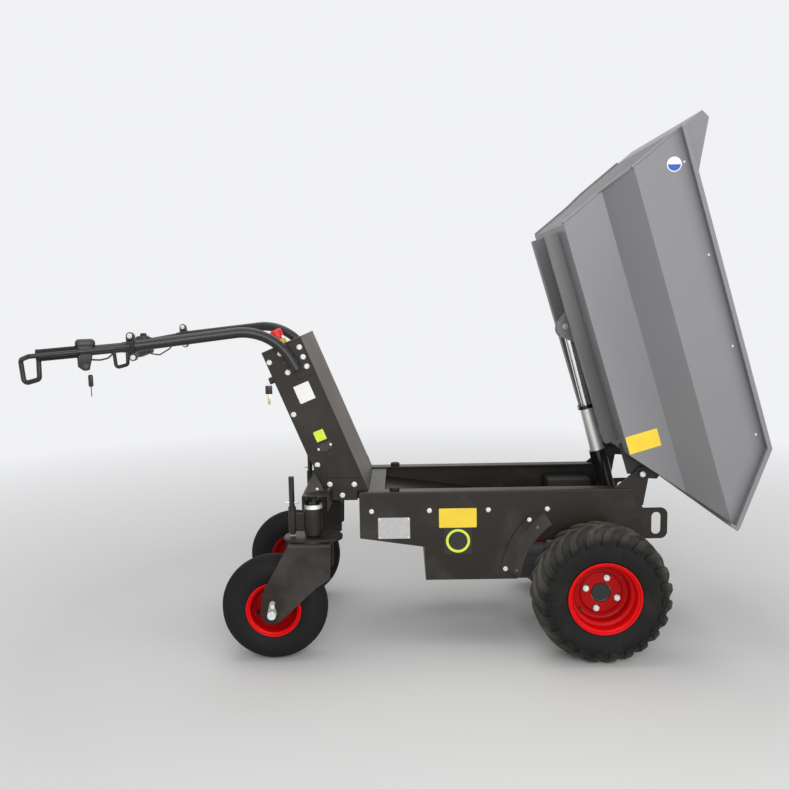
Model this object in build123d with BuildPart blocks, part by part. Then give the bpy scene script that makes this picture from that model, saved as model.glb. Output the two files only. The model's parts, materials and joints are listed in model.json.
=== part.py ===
"""Walk-behind electric mini dumper with its skip tipped, as an assembly of separate pieces.

Millimetres, +X towards the dumping end, +Y to the machine's left, +Z up. The origin is on
the floor at the middle of the machine's length and width.
"""

import math
import os

from build123d import *

os.makedirs("parts", exist_ok=True)

SIDES = (("left", 1), ("right", -1))

# ---------------------------------------------------------------- driving dimensions
# wheels
drive_x = 608.0
wheelbase = 1003.0
drive_tyre_radius = 211.5
drive_tyre_width = 160.0
wheel_side_gap = 13.5
drive_tyre_wall = 13.0
drive_rim_radius = 112.0
drive_rim_width = 148.0
drive_disc_a = 12.0
stud_circle = 50.0
stud_angle = -18.0
caster_track = 522.0
caster_tyre_radius = 165.0
caster_tyre_width = 108.0
caster_tyre_wall = 9.0
caster_rim_radius = 86.0
caster_rim_width = 94.0
caster_trail = 126.0
running_gap = 0.1

# chassis: two folded side plates with a tray between them
deck_z = 508.0
plate_y = 213.0
plate = 5.0
neck_length = 88.0
rear_tray_length = 80.0
flange_width = 45.0
chassis_rear_bottom_z = 360.0
step_x = drive_x - 530.0
step_z = 329.0
chassis_bottom_z = 221.0
behind_wheel_z = 346.0
arch_radius = 240.0
slope_top_x = drive_x + 115.0
slope_bottom_x = drive_x + 154.0
lug_top_z = 445.0
lug_end_x = drive_x + 231.0
lug_corner = 22.0
tow_slot_x = drive_x + 195.5
tow_slot_width = 29.0
tow_slot_height = 71.0
front_plate_x = drive_x + 146.0
front_plate_top_z = 440.0
pad_radius = 16.0
pad_height = 11.0
pad_from_floor_end = 36.0

# skip, in its own directions: u runs forward along the floor, w up from the floor
tip_angle = 73.5
pivot_x = drive_x + 150.0
pivot_z = 553.0
rest_gap = 1.0
sheet = 3.0
floor_length = 728.0
pivot_past_floor = 83.0
kink_past_floor = 75.0
lip_past_floor = 277.0
low_half_width = 265.0
top_half_width = 360.0
fold_low_w = 133.0
fold_high_w = 212.0
rim_w = 378.0
rear_rim_u = -158.0
lip_w = 228.0
headboard_w = 436.0
wing_length = 145.0
rim_bar_height = 13.0
rim_bar_width = 16.0
runner_inner_y = 110.0
runner_width = 40.0
runner_depth = 38.0

# skip hinge
hinge_pin_radius = 10.0
bracket_plate = 8.0
bracket_head = 22.0
bracket_foot_x = drive_x + 66.0
bracket_bottom_z = 452.0
lug_plate = 8.0
lug_side_gap = 2.0
lug_round = 22.0
lug_reach_past = 52.0
pin_nut = 8.0

# tipping cylinder
eye_w = -30.0
eye_behind_pivot = 486.0
eye_radius = 19.0
eye_half_width = 12.0
lug_gap = 4.0
lower_pin_x = drive_x + 123.0
lower_pin_z = 340.0
clevis_radius = 22.0
clevis_plate = 8.0
clevis_top_z = 386.0
foot_radius = 21.0
foot_half_width = 16.5
running_side_gap = 1.5
barrel_start = 40.0
cylinder_pin_radius = 10.0
rod_radius = 14.0
barrel_radius = 27.5
sleeve_radius = 22.5
gland_radius = 26.0
rod_showing = 262.0
gland_length = 12.0
sleeve_length = 147.0

# tower
tower_inset = 31.0
tower_sheet = 4.0
tower_depth = 130.0
tower_lean = 22.3
tower_top_z = 996.0
foot_ahead_of_swivel = 20.0
front_foot_past_beam = 114.0
tower_kink_down = 365.0

# caster beam and swivels
beam_bottom_z = 474.0
beam_top_z = 522.0
beam_half_length = 300.0
beam_behind_swivel = 29.0
beam_ahead_of_swivel = 53.0
housing_radius = 26.0
housing_bottom_z = 391.0
housing_top_z = 470.0
stem_radius = 15.0
fork_plate = 8.0
fork_top_z = 377.0
turntable_top_z = 387.0
lock_offset = 64.0
lock_pin_radius = 8.5
lock_sleeve_radius = 12.0

# handlebar: two bent tubes, each with a grip set to its own angle in a clamp
tube_radius = 16.0
grip_tube_radius = 14.5
grip_sleeve_radius = 18.0
guard_radius = 7.0
bar_root_z = 897.0
bar_knee_z = 1027.0
bar_clamp_z = 984.0
bar_root_forward = -9.0
bar_knee_back = 82.0
bar_clamp_back = 484.0
bar_clamp_outward = 121.0
grip_end_back = 734.0
grip_end_outward = 209.0
grip_drops = {-1: 16.0, 1: 42.0}
unit_back = 620.0

# ---------------------------------------------------------------- worked-out places
caster_x = drive_x - wheelbase
swivel_x = caster_x + caster_trail
beam_rear_x = swivel_x - beam_behind_swivel
beam_front_x = swivel_x + beam_ahead_of_swivel
chassis_rear_x = beam_front_x + neck_length
bay_rear_x = chassis_rear_x + rear_tray_length
drive_track = 2 * (plate_y + wheel_side_gap) + drive_tyre_width
half_drive = drive_track / 2
half_caster = caster_track / 2
inner_y = plate_y - plate
lug_bottom_z = behind_wheel_z
pivot_w = pivot_z - deck_z - pad_height - rest_gap
pivot_u = floor_length + pivot_past_floor
pad_x = pivot_x - pivot_u + pad_from_floor_end
eye_u = pivot_u - eye_behind_pivot
kink_u = floor_length + kink_past_floor
lip_u = floor_length + lip_past_floor
tip = math.radians(tip_angle)
u_dir = Vector(math.cos(tip), 0, -math.sin(tip))
w_dir = Vector(math.sin(tip), 0, math.cos(tip))
skip_origin = Vector(pivot_x, 0, pivot_z) - u_dir * pivot_u - w_dir * pivot_w
eye = skip_origin + u_dir * eye_u + w_dir * eye_w
lower_pin = Vector(lower_pin_x, 0, lower_pin_z)
cylinder_length = (eye - lower_pin).length
cylinder_dir = (eye - lower_pin).normalized()
gland_top = cylinder_length - rod_showing
sleeve_top = gland_top - gland_length
sleeve_bottom = sleeve_top - sleeve_length
lean = math.radians(tower_lean)
tower_half_width = plate_y - tower_inset
tower_foot_x = swivel_x + foot_ahead_of_swivel
tower_front_foot_x = beam_front_x + front_foot_past_beam
tower_top_x = tower_front_foot_x - (tower_top_z - deck_z) * math.tan(lean)
tower_down = Vector(math.sin(lean), 0, -math.cos(lean))
tower_back = Vector(-math.cos(lean), 0, -math.sin(lean))
bar_root_x = tower_top_x + bar_root_forward
bar_knee_x = tower_top_x - bar_knee_back
bar_clamp_x = tower_top_x - bar_clamp_back
bar_clamp_y = tower_half_width + bar_clamp_outward
grip_end_x = tower_top_x - grip_end_back
grip_end_y = tower_half_width + grip_end_outward


def side_view(y):
    """Looking along +Y at a given y: local x is +X, local y is +Z."""
    return Plane(origin=(0, y, 0), x_dir=(1, 0, 0), z_dir=(0, -1, 0))


def skip_side(y):
    """The skip's own side view at a given y: local x is u, local y is w."""
    return Plane(origin=skip_origin + Vector(0, y, 0), x_dir=u_dir, z_dir=(0, -1, 0))


def skip_section(u):
    """Square to the skip's floor at a given u: local x is +Y, local y is w."""
    return Plane(origin=skip_origin + u_dir * u, x_dir=(0, 1, 0), z_dir=u_dir)


def axle_section(x, y, z, side):
    """Through a wheel's axis: local x runs outwards along the axle, local y is up."""
    return Plane(origin=(x, y, z), x_dir=(0, side, 0), z_dir=(side, 0, 0))


def along_y(x, y, z, side):
    """Square to an axle at a given y, with its normal pointing outwards."""
    return Plane(origin=(x, y, z), x_dir=(1, 0, 0), z_dir=(0, side, 0))


def cylinder_axis(distance):
    """Square to the tipping cylinder, a distance up from its lower pin."""
    return Plane(origin=lower_pin + cylinder_dir * distance, x_dir=(0, 1, 0), z_dir=cylinder_dir)


def tower_side(y):
    """The tower's own side view: local x is down the lean, local y is forward."""
    origin = Vector(tower_top_x, y, tower_top_z)
    return Plane(origin=origin, x_dir=tower_down, z_dir=(0, -1, 0))


def tyre_outline(crown, half, rim_radius, rim_half, wall):
    """Draw a tyre's section: outer carcass, two feet on the rim, and the air space."""
    foot = rim_half - 7
    seat_r = rim_radius - 9
    middle_r = (rim_radius + crown) / 2
    layers = (
        # foot a, lower wall r, widest a, shoulder a, shoulder r, crown r
        (foot, rim_radius + 3, half, half * 0.74, crown - half * 0.16, crown),
        (foot - wall, rim_radius + 3, half - wall, half * 0.66, crown - half * 0.16 - wall, crown - wall),
    )
    for foot_a, wall_r, wide_a, shoulder_a, shoulder_r, crown_r in layers:
        for end in (1, -1):
            Line((end * foot_a, seat_r), (end * foot_a, wall_r))
            ThreePointArc(
                (end * foot_a, wall_r),
                (end * wide_a, middle_r),
                (end * shoulder_a, shoulder_r),
            )
        ThreePointArc((shoulder_a, shoulder_r), (0, crown_r), (-shoulder_a, shoulder_r))
    for end in (1, -1):
        Line((end * foot, seat_r), (end * (foot - wall), seat_r))


# ---------------------------------------------------------------- chassis side plates
arch_rise = behind_wheel_z - drive_tyre_radius
arch_drop = chassis_bottom_z - drive_tyre_radius
arch_start_x = drive_x - math.sqrt(arch_radius**2 - arch_rise**2)
arch_end_x = drive_x - math.sqrt(arch_radius**2 - arch_drop**2)
arch_middle = math.radians(160)
arch_middle_point = (
    drive_x + arch_radius * math.cos(arch_middle),
    drive_tyre_radius + arch_radius * math.sin(arch_middle),
)

with BuildPart() as side_plates:
    for side_name, side in SIDES:
        with BuildSketch(side_view(side * (plate_y - plate / 2))):
            with BuildLine():
                Polyline(
                    (arch_end_x, chassis_bottom_z),
                    (step_x, chassis_bottom_z),
                    (step_x, step_z),
                    (chassis_rear_x, chassis_rear_bottom_z),
                    (chassis_rear_x, deck_z),
                    (slope_top_x, deck_z),
                    (slope_bottom_x, lug_top_z),
                    (lug_end_x, lug_top_z),
                    (lug_end_x, lug_bottom_z),
                    (arch_start_x, behind_wheel_z),
                )
                ThreePointArc(
                    (arch_start_x, behind_wheel_z),
                    arch_middle_point,
                    (arch_end_x, chassis_bottom_z),
                )
            face = make_face()
            fillet(face.vertices().group_by(Axis.X)[-1], lug_corner)
            with Locations((tow_slot_x, (lug_top_z + lug_bottom_z) / 2)):
                SlotOverall(tow_slot_height, tow_slot_width, rotation=90, mode=Mode.SUBTRACT)
        extrude(amount=plate / 2, both=True)
        with BuildSketch(Plane.XY.offset(deck_z - plate)):
            flange_x = (chassis_rear_x + slope_top_x) / 2
            with Locations((flange_x, side * (plate_y - flange_width / 2))):
                Rectangle(slope_top_x - chassis_rear_x, flange_width)
        extrude(amount=plate)
side_plates.part.label = "side_plates"
export_step(side_plates.part, "parts/side_plates.step")

# ---------------------------------------------------------------- tray, deck and front plate
with BuildPart() as belly_tray:
    with BuildSketch(side_view(0)):
        with BuildLine():
            Polyline(
                (chassis_rear_x, deck_z - 2 * plate),
                (chassis_rear_x, chassis_rear_bottom_z),
                (step_x, step_z),
                (step_x, chassis_bottom_z),
                (arch_end_x, chassis_bottom_z),
                (arch_end_x, chassis_bottom_z + plate),
                (step_x + plate, chassis_bottom_z + plate),
                (step_x + plate, step_z + plate),
                (chassis_rear_x + plate, chassis_rear_bottom_z + plate),
                (chassis_rear_x + plate, deck_z - 2 * plate),
                close=True,
            )
        make_face()
    extrude(amount=inner_y, both=True)
belly_tray.part.label = "belly_tray"
export_step(belly_tray.part, "parts/belly_tray.step")

with BuildPart() as deck_plate:
    with BuildSketch(Plane.XY.offset(deck_z - 2 * plate)):
        with Locations(((chassis_rear_x + bay_rear_x) / 2, 0)):
            Rectangle(bay_rear_x - chassis_rear_x, 2 * inner_y)
    extrude(amount=plate)
deck_plate.part.label = "deck_plate"
export_step(deck_plate.part, "parts/deck_plate.step")

cover_rear_z = 466.0
cover_front_x = drive_x - 362.0
cover_front_z = 425.0
with BuildPart() as battery_cover:
    with BuildSketch(side_view(0)):
        with BuildLine():
            Polyline(
                (chassis_rear_x + plate, cover_rear_z),
                (bay_rear_x, cover_rear_z),
                (cover_front_x, cover_front_z),
                (cover_front_x, cover_front_z - plate),
                (bay_rear_x, cover_rear_z - plate),
                (chassis_rear_x + plate, cover_rear_z - plate),
                close=True,
            )
        make_face()
    extrude(amount=inner_y, both=True)
battery_cover.part.label = "battery_cover"
export_step(battery_cover.part, "parts/battery_cover.step")

front_flange = 40.0
with BuildPart() as front_plate:
    with BuildSketch(side_view(0)):
        with BuildLine():
            Polyline(
                (front_plate_x, front_plate_top_z),
                (front_plate_x, behind_wheel_z),
                (front_plate_x + front_flange, behind_wheel_z),
                (front_plate_x + front_flange, behind_wheel_z + plate),
                (front_plate_x + plate, behind_wheel_z + plate),
                (front_plate_x + plate, front_plate_top_z),
                close=True,
            )
        make_face()
    extrude(amount=inner_y, both=True)
front_plate.part.label = "front_plate"
export_step(front_plate.part, "parts/front_plate.step")

# ---------------------------------------------------------------- heavy blocks inside
battery_margin = 20.0
battery_height = 172.0
battery_half_width = 172.0
with BuildPart() as battery:
    with BuildSketch(Plane.XY.offset(chassis_bottom_z + plate)):
        with Locations(((step_x + arch_end_x) / 2, 0)):
            Rectangle(arch_end_x - step_x - 2 * battery_margin, 2 * battery_half_width)
    extrude(amount=battery_height)
battery.part.label = "battery"
export_step(battery.part, "parts/battery.step")

# ---------------------------------------------------------------- rest pads on the flanges
with BuildPart() as rest_pads:
    pad_y = plate_y - flange_width / 2
    with BuildSketch(Plane.XY.offset(deck_z)):
        with Locations((pad_x, pad_y), (pad_x, -pad_y)):
            Circle(pad_radius)
    extrude(amount=pad_height)
    chamfer(rest_pads.faces().filter_by(Axis.Z).group_by(Axis.Z)[-1].edges(), 2)
rest_pads.part.label = "rest_pads"
export_step(rest_pads.part, "parts/rest_pads.step")

# ---------------------------------------------------------------- skip hinge on the chassis
bracket_y = inner_y - bracket_plate
with BuildPart() as hinge_brackets:
    for side_name, side in SIDES:
        with BuildSketch(side_view(side * (bracket_y + bracket_plate / 2))):
            with BuildLine():
                Polyline(
                    (bracket_foot_x, deck_z),
                    (pivot_x - bracket_head - 4, pivot_z + 4),
                    (pivot_x, pivot_z + bracket_head - 2),
                    (pivot_x + bracket_head, pivot_z - 4),
                    (slope_bottom_x + 1, bracket_bottom_z),
                    (slope_top_x + 3, bracket_bottom_z),
                    (slope_top_x + 3, deck_z),
                    close=True,
                )
            make_face()
            with Locations((pivot_x, pivot_z)):
                Circle(bracket_head)
                Circle(hinge_pin_radius, mode=Mode.SUBTRACT)
        extrude(amount=bracket_plate / 2, both=True)
hinge_brackets.part.label = "hinge_brackets"
export_step(hinge_brackets.part, "parts/hinge_brackets.step")

lug_outer_y = bracket_y - lug_side_gap
lug_inner_y = lug_outer_y - lug_plate
with BuildPart() as hinge_pins:
    pin_steps = (
        # start y, length, radius
        (lug_inner_y - pin_nut, pin_nut - 0.5, 15.0),
        (lug_inner_y - 1, bracket_y + bracket_plate - lug_inner_y + 2, hinge_pin_radius),
        (bracket_y + bracket_plate, pin_nut, 13.0),
    )
    for side_name, side in SIDES:
        for start_y, length, radius in pin_steps:
            with BuildSketch(along_y(pivot_x, side * start_y, pivot_z, side)):
                Circle(radius)
            extrude(amount=length)
hinge_pins.part.label = "hinge_pins"
export_step(hinge_pins.part, "parts/hinge_pins.step")

# ---------------------------------------------------------------- cylinder clevis
clevis_inner = foot_half_width + running_side_gap
with BuildPart() as cylinder_clevis:
    for side_name, side in SIDES:
        with BuildSketch(side_view(side * (clevis_inner + clevis_plate / 2))):
            with Locations((lower_pin_x, lower_pin_z)):
                Circle(clevis_radius)
            with BuildLine():
                Polyline(
                    (lower_pin_x, lower_pin_z + clevis_radius),
                    (front_plate_x, clevis_top_z),
                    (front_plate_x, behind_wheel_z),
                    (lower_pin_x, lower_pin_z - clevis_radius),
                    close=True,
                )
            make_face()
        extrude(amount=clevis_plate / 2, both=True)
    with BuildSketch(side_view(0)):
        with Locations((lower_pin_x, lower_pin_z)):
            Circle(cylinder_pin_radius)
    extrude(amount=clevis_inner + clevis_plate + 6, both=True)
cylinder_clevis.part.label = "cylinder_clevis"
export_step(cylinder_clevis.part, "parts/cylinder_clevis.step")

# ---------------------------------------------------------------- drive axle
axle_tube_radius = 32.0
gear_case_radius = 74.0
gear_case_half = 62.0
axle_end_y = plate_y + 2.0
hub_gap = 0.3
axle_z = drive_tyre_radius
axle_steps = (
    # y, radius along the axle from the middle outwards
    (0.0, gear_case_radius),
    (gear_case_half - 20, gear_case_radius),
    (gear_case_half, axle_tube_radius + 12),
    (gear_case_half + 10, axle_tube_radius),
    (axle_end_y, axle_tube_radius),
)
with BuildPart() as drive_axle:
    with BuildSketch(axle_section(drive_x, 0, axle_z, 1)):
        with BuildLine():
            right_half = [(-y, r) for y, r in reversed(axle_steps[1:])]
            Polyline((-axle_end_y, 0), *right_half, *axle_steps[1:], (axle_end_y, 0), close=True)
        make_face()
    revolve(axis=Axis((drive_x, 0, axle_z), (0, 1, 0)))
drive_axle.part.label = "drive_axle"
export_step(drive_axle.part, "parts/drive_axle.step")

motor_radius = 60.0
motor_length = 150.0
with BuildPart() as drive_motor:
    with BuildSketch(Plane(origin=(drive_x - gear_case_radius, 0, axle_z), z_dir=(-1, 0, 0))):
        Circle(motor_radius)
    extrude(amount=motor_length)
drive_motor.part.label = "drive_motor"
export_step(drive_motor.part, "parts/drive_motor.step")

saddle_plate = 8.0
saddle_ring = 46.0
saddle_half = 95.0
saddle_top_z = behind_wheel_z + 50
with BuildPart() as axle_saddles:
    for side_name, side in SIDES:
        with BuildSketch(side_view(side * (inner_y - saddle_plate / 2))):
            with BuildLine():
                Polyline(
                    (drive_x - saddle_half, saddle_top_z),
                    (drive_x + saddle_half, saddle_top_z),
                    (drive_x + saddle_half, behind_wheel_z),
                    (drive_x + saddle_ring, axle_z),
                    (drive_x - saddle_ring, axle_z),
                    (drive_x - saddle_half, behind_wheel_z),
                    close=True,
                )
            make_face()
            with Locations((drive_x, axle_z)):
                Circle(saddle_ring)
                Circle(axle_tube_radius, mode=Mode.SUBTRACT)
        extrude(amount=saddle_plate / 2, both=True)
axle_saddles.part.label = "axle_saddles"
export_step(axle_saddles.part, "parts/axle_saddles.step")

# ---------------------------------------------------------------- wheel guards
guard_sheet = 4.0
guard_reach = 38.0
guard_band = 40.0
guard_angles = (172.0, 148.0, 124.0)
guard_inner = arch_radius - guard_sheet
guard_layers = (
    # radial width, reach from the side plate
    (guard_sheet, guard_reach),
    (guard_sheet + guard_band, guard_sheet),
)


def arc_points(radius, angles, turn):
    """Points about the drive axle in a side plate's sketch; turn is +1 or -1 for the side."""
    return [
        (radius * math.cos(math.radians(a)), turn * radius * math.sin(math.radians(a)))
        for a in angles
    ]


with BuildPart() as wheel_guards:
    for side_name, side in SIDES:
        for width, reach in guard_layers:
            with BuildSketch(along_y(drive_x, side * plate_y, axle_z, side)):
                inner_arc = arc_points(guard_inner, guard_angles, -side)
                outer_arc = arc_points(guard_inner + width, guard_angles, -side)
                with BuildLine():
                    ThreePointArc(*inner_arc)
                    Line(inner_arc[-1], outer_arc[-1])
                    ThreePointArc(*reversed(outer_arc))
                    Line(outer_arc[0], inner_arc[0])
                make_face()
            extrude(amount=reach)
wheel_guards.part.label = "wheel_guards"
export_step(wheel_guards.part, "parts/wheel_guards.step")

# ---------------------------------------------------------------- drive wheels
drive_bead_radius = drive_rim_radius - 10
rim_wall = 5.0
stud_hole_radius = 7.0
stud_radius = 6.0
nut_across = 10.0
nut_height = 8.0
centre_hole = 30.0
hub_cap_radius = 28.0
hub_cap_depth = 3.0
for side_name, side in SIDES:
    centre = (drive_x, side * half_drive, axle_z)
    axle_line = Axis(centre, (0, 1, 0))
    with BuildPart() as drive_tyre:
        with BuildSketch(axle_section(*centre, side)):
            with BuildLine():
                tyre_outline(
                    drive_tyre_radius,
                    drive_tyre_width / 2,
                    drive_rim_radius,
                    drive_rim_width / 2,
                    drive_tyre_wall,
                )
            make_face()
        revolve(axis=axle_line)
    drive_tyre.part.label = f"drive_tyre_{side_name}"
    export_step(drive_tyre.part, f"parts/drive_tyre_{side_name}.step")

    with BuildPart() as drive_rim:
        edge = drive_rim_width / 2
        bead = drive_bead_radius
        well = bead - 14
        with BuildSketch(axle_section(*centre, side)):
            with BuildLine():
                Polyline(
                    (-edge, drive_rim_radius),
                    (-edge, drive_rim_radius - rim_wall),
                    (-edge + 8, bead - rim_wall),
                    (-edge + 36, bead - rim_wall),
                    (-edge + 46, well - rim_wall),
                    (drive_disc_a - rim_wall, well - rim_wall),
                    (drive_disc_a - rim_wall, centre_hole),
                    (drive_disc_a, centre_hole),
                    (drive_disc_a, well - rim_wall),
                    (edge - 40, well - rim_wall),
                    (edge - 30, bead - rim_wall),
                    (edge - 8, bead - rim_wall),
                    (edge, drive_rim_radius - rim_wall),
                    (edge, drive_rim_radius),
                    (edge - 4, drive_rim_radius),
                    (edge - 6.5, bead),
                    (edge - 32, bead),
                    (edge - 42, well),
                    (-edge + 48, well),
                    (-edge + 38, bead),
                    (-edge + 6.5, bead),
                    (-edge + 4, drive_rim_radius),
                    close=True,
                )
            make_face()
        revolve(axis=axle_line)
        with BuildSketch(along_y(drive_x, side * half_drive, axle_z, side)):
            with PolarLocations(stud_circle, 4, start_angle=stud_angle):
                Circle(stud_hole_radius)
        extrude(amount=drive_disc_a + 1, mode=Mode.SUBTRACT)
    drive_rim.part.label = f"drive_rim_{side_name}"
    export_step(drive_rim.part, f"parts/drive_rim_{side_name}.step")

    with BuildPart() as drive_hub:
        inner_a = axle_end_y + hub_gap - half_drive
        back_a = drive_disc_a - rim_wall
        hub_steps = (
            # start a, end a, radius
            (inner_a, back_a - 8, 34.0),
            (back_a - 8, back_a, 64.0),
            (back_a, back_a + hub_cap_depth, hub_cap_radius),
        )
        for start_a, end_a, radius in hub_steps:
            with BuildSketch(along_y(drive_x, side * (half_drive + start_a), axle_z, side)):
                Circle(radius)
            extrude(amount=end_a - start_a)
        with BuildSketch(along_y(drive_x, side * (half_drive + back_a), axle_z, side)):
            with PolarLocations(stud_circle, 4, start_angle=stud_angle):
                Circle(stud_radius)
        extrude(amount=rim_wall + nut_height + 3)
        with BuildSketch(along_y(drive_x, side * (half_drive + drive_disc_a), axle_z, side)):
            with PolarLocations(stud_circle, 4, start_angle=stud_angle):
                RegularPolygon(nut_across, 6)
        extrude(amount=nut_height)
    drive_hub.part.label = f"drive_hub_{side_name}"
    export_step(drive_hub.part, f"parts/drive_hub_{side_name}.step")

# ---------------------------------------------------------------- caster beam and neck
with BuildPart() as caster_beam:
    beam_x = (beam_rear_x + beam_front_x) / 2
    beam_width = beam_front_x - beam_rear_x
    beam_height = beam_top_z - beam_bottom_z
    with BuildSketch(side_view(0)):
        with Locations((beam_x, beam_bottom_z + beam_height / 2)):
            Rectangle(beam_width, beam_height)
        with Locations((beam_x, beam_bottom_z + beam_height / 2 - plate)):
            Rectangle(beam_width - 2 * plate, beam_height, mode=Mode.SUBTRACT)
    extrude(amount=beam_half_length, both=True)
caster_beam.part.label = "caster_beam"
export_step(caster_beam.part, "parts/caster_beam.step")

neck_height = 30.0
neck_inner_y = 118.0
with BuildPart() as neck_rails:
    with BuildSketch(Plane.XY.offset(deck_z - neck_height)):
        neck_x = (beam_front_x + chassis_rear_x) / 2
        neck_y = neck_inner_y + neck_height / 2 + 8
        with Locations((neck_x, neck_y), (neck_x, -neck_y)):
            Rectangle(chassis_rear_x - beam_front_x, neck_height + 16)
    extrude(amount=neck_height)
neck_rails.part.label = "neck_rails"
export_step(neck_rails.part, "parts/neck_rails.step")

# ---------------------------------------------------------------- swivel housings and locks
lock_x = swivel_x - lock_offset
web = 8.0
web_height = 56.0
sleeve_rise = 9.0
ear_inner = half_caster - 81
ear_step = half_caster - 31
with BuildPart() as swivel_housings:
    for side_name, side in SIDES:
        y = side * half_caster
        with BuildSketch(Plane.XY.offset(housing_bottom_z)):
            with Locations((swivel_x, y)):
                Circle(housing_radius)
        extrude(amount=housing_top_z - housing_bottom_z)
        with BuildSketch(Plane.XY.offset(housing_bottom_z + sleeve_rise)):
            with Locations((lock_x, y)):
                Circle(lock_sleeve_radius)
        extrude(amount=housing_top_z - housing_bottom_z)
        with BuildSketch(side_view(y)):
            with Locations(((lock_x + swivel_x) / 2, (housing_bottom_z + housing_top_z) / 2)):
                Rectangle(swivel_x - lock_x, web_height)
        extrude(amount=web / 2, both=True)
        with BuildSketch(Plane(origin=(swivel_x, 0, 0), x_dir=(0, 1, 0), z_dir=(1, 0, 0))):
            with BuildLine():
                Polyline(
                    (side * half_caster, housing_bottom_z + 8),
                    (side * half_caster, housing_top_z),
                    (side * ear_step, housing_top_z),
                    (side * ear_step, beam_top_z - plate),
                    (side * ear_inner, beam_top_z - plate),
                    (side * ear_inner, beam_bottom_z),
                    close=True,
                )
            make_face()
        extrude(amount=web / 2, both=True)
        with BuildSketch(Plane.XY.offset(housing_bottom_z)):
            with Locations((swivel_x, y)):
                Circle(stem_radius + running_gap)
            with Locations((lock_x, y)):
                Circle(lock_pin_radius + running_gap)
        extrude(amount=beam_top_z - housing_bottom_z, mode=Mode.SUBTRACT)
swivel_housings.part.label = "swivel_housings"
export_step(swivel_housings.part, "parts/swivel_housings.step")

lock_tip_z = turntable_top_z + 6
lock_top_z = 574.0
lock_stop_z = 492.0
lock_stop_radius = 2.5
lock_stop_half = 14.0
with BuildPart() as lock_pins:
    for side_name, side in SIDES:
        with BuildSketch(Plane.XY.offset(lock_tip_z)):
            with Locations((lock_x, side * half_caster)):
                Circle(lock_pin_radius)
        extrude(amount=lock_top_z - lock_tip_z)
        with BuildSketch(Plane(origin=(lock_x, side * half_caster, lock_stop_z), z_dir=(1, 0, 0))):
            Circle(lock_stop_radius)
        extrude(amount=lock_stop_half, both=True)
lock_pins.part.label = "lock_pins"
export_step(lock_pins.part, "parts/lock_pins.step")

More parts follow.
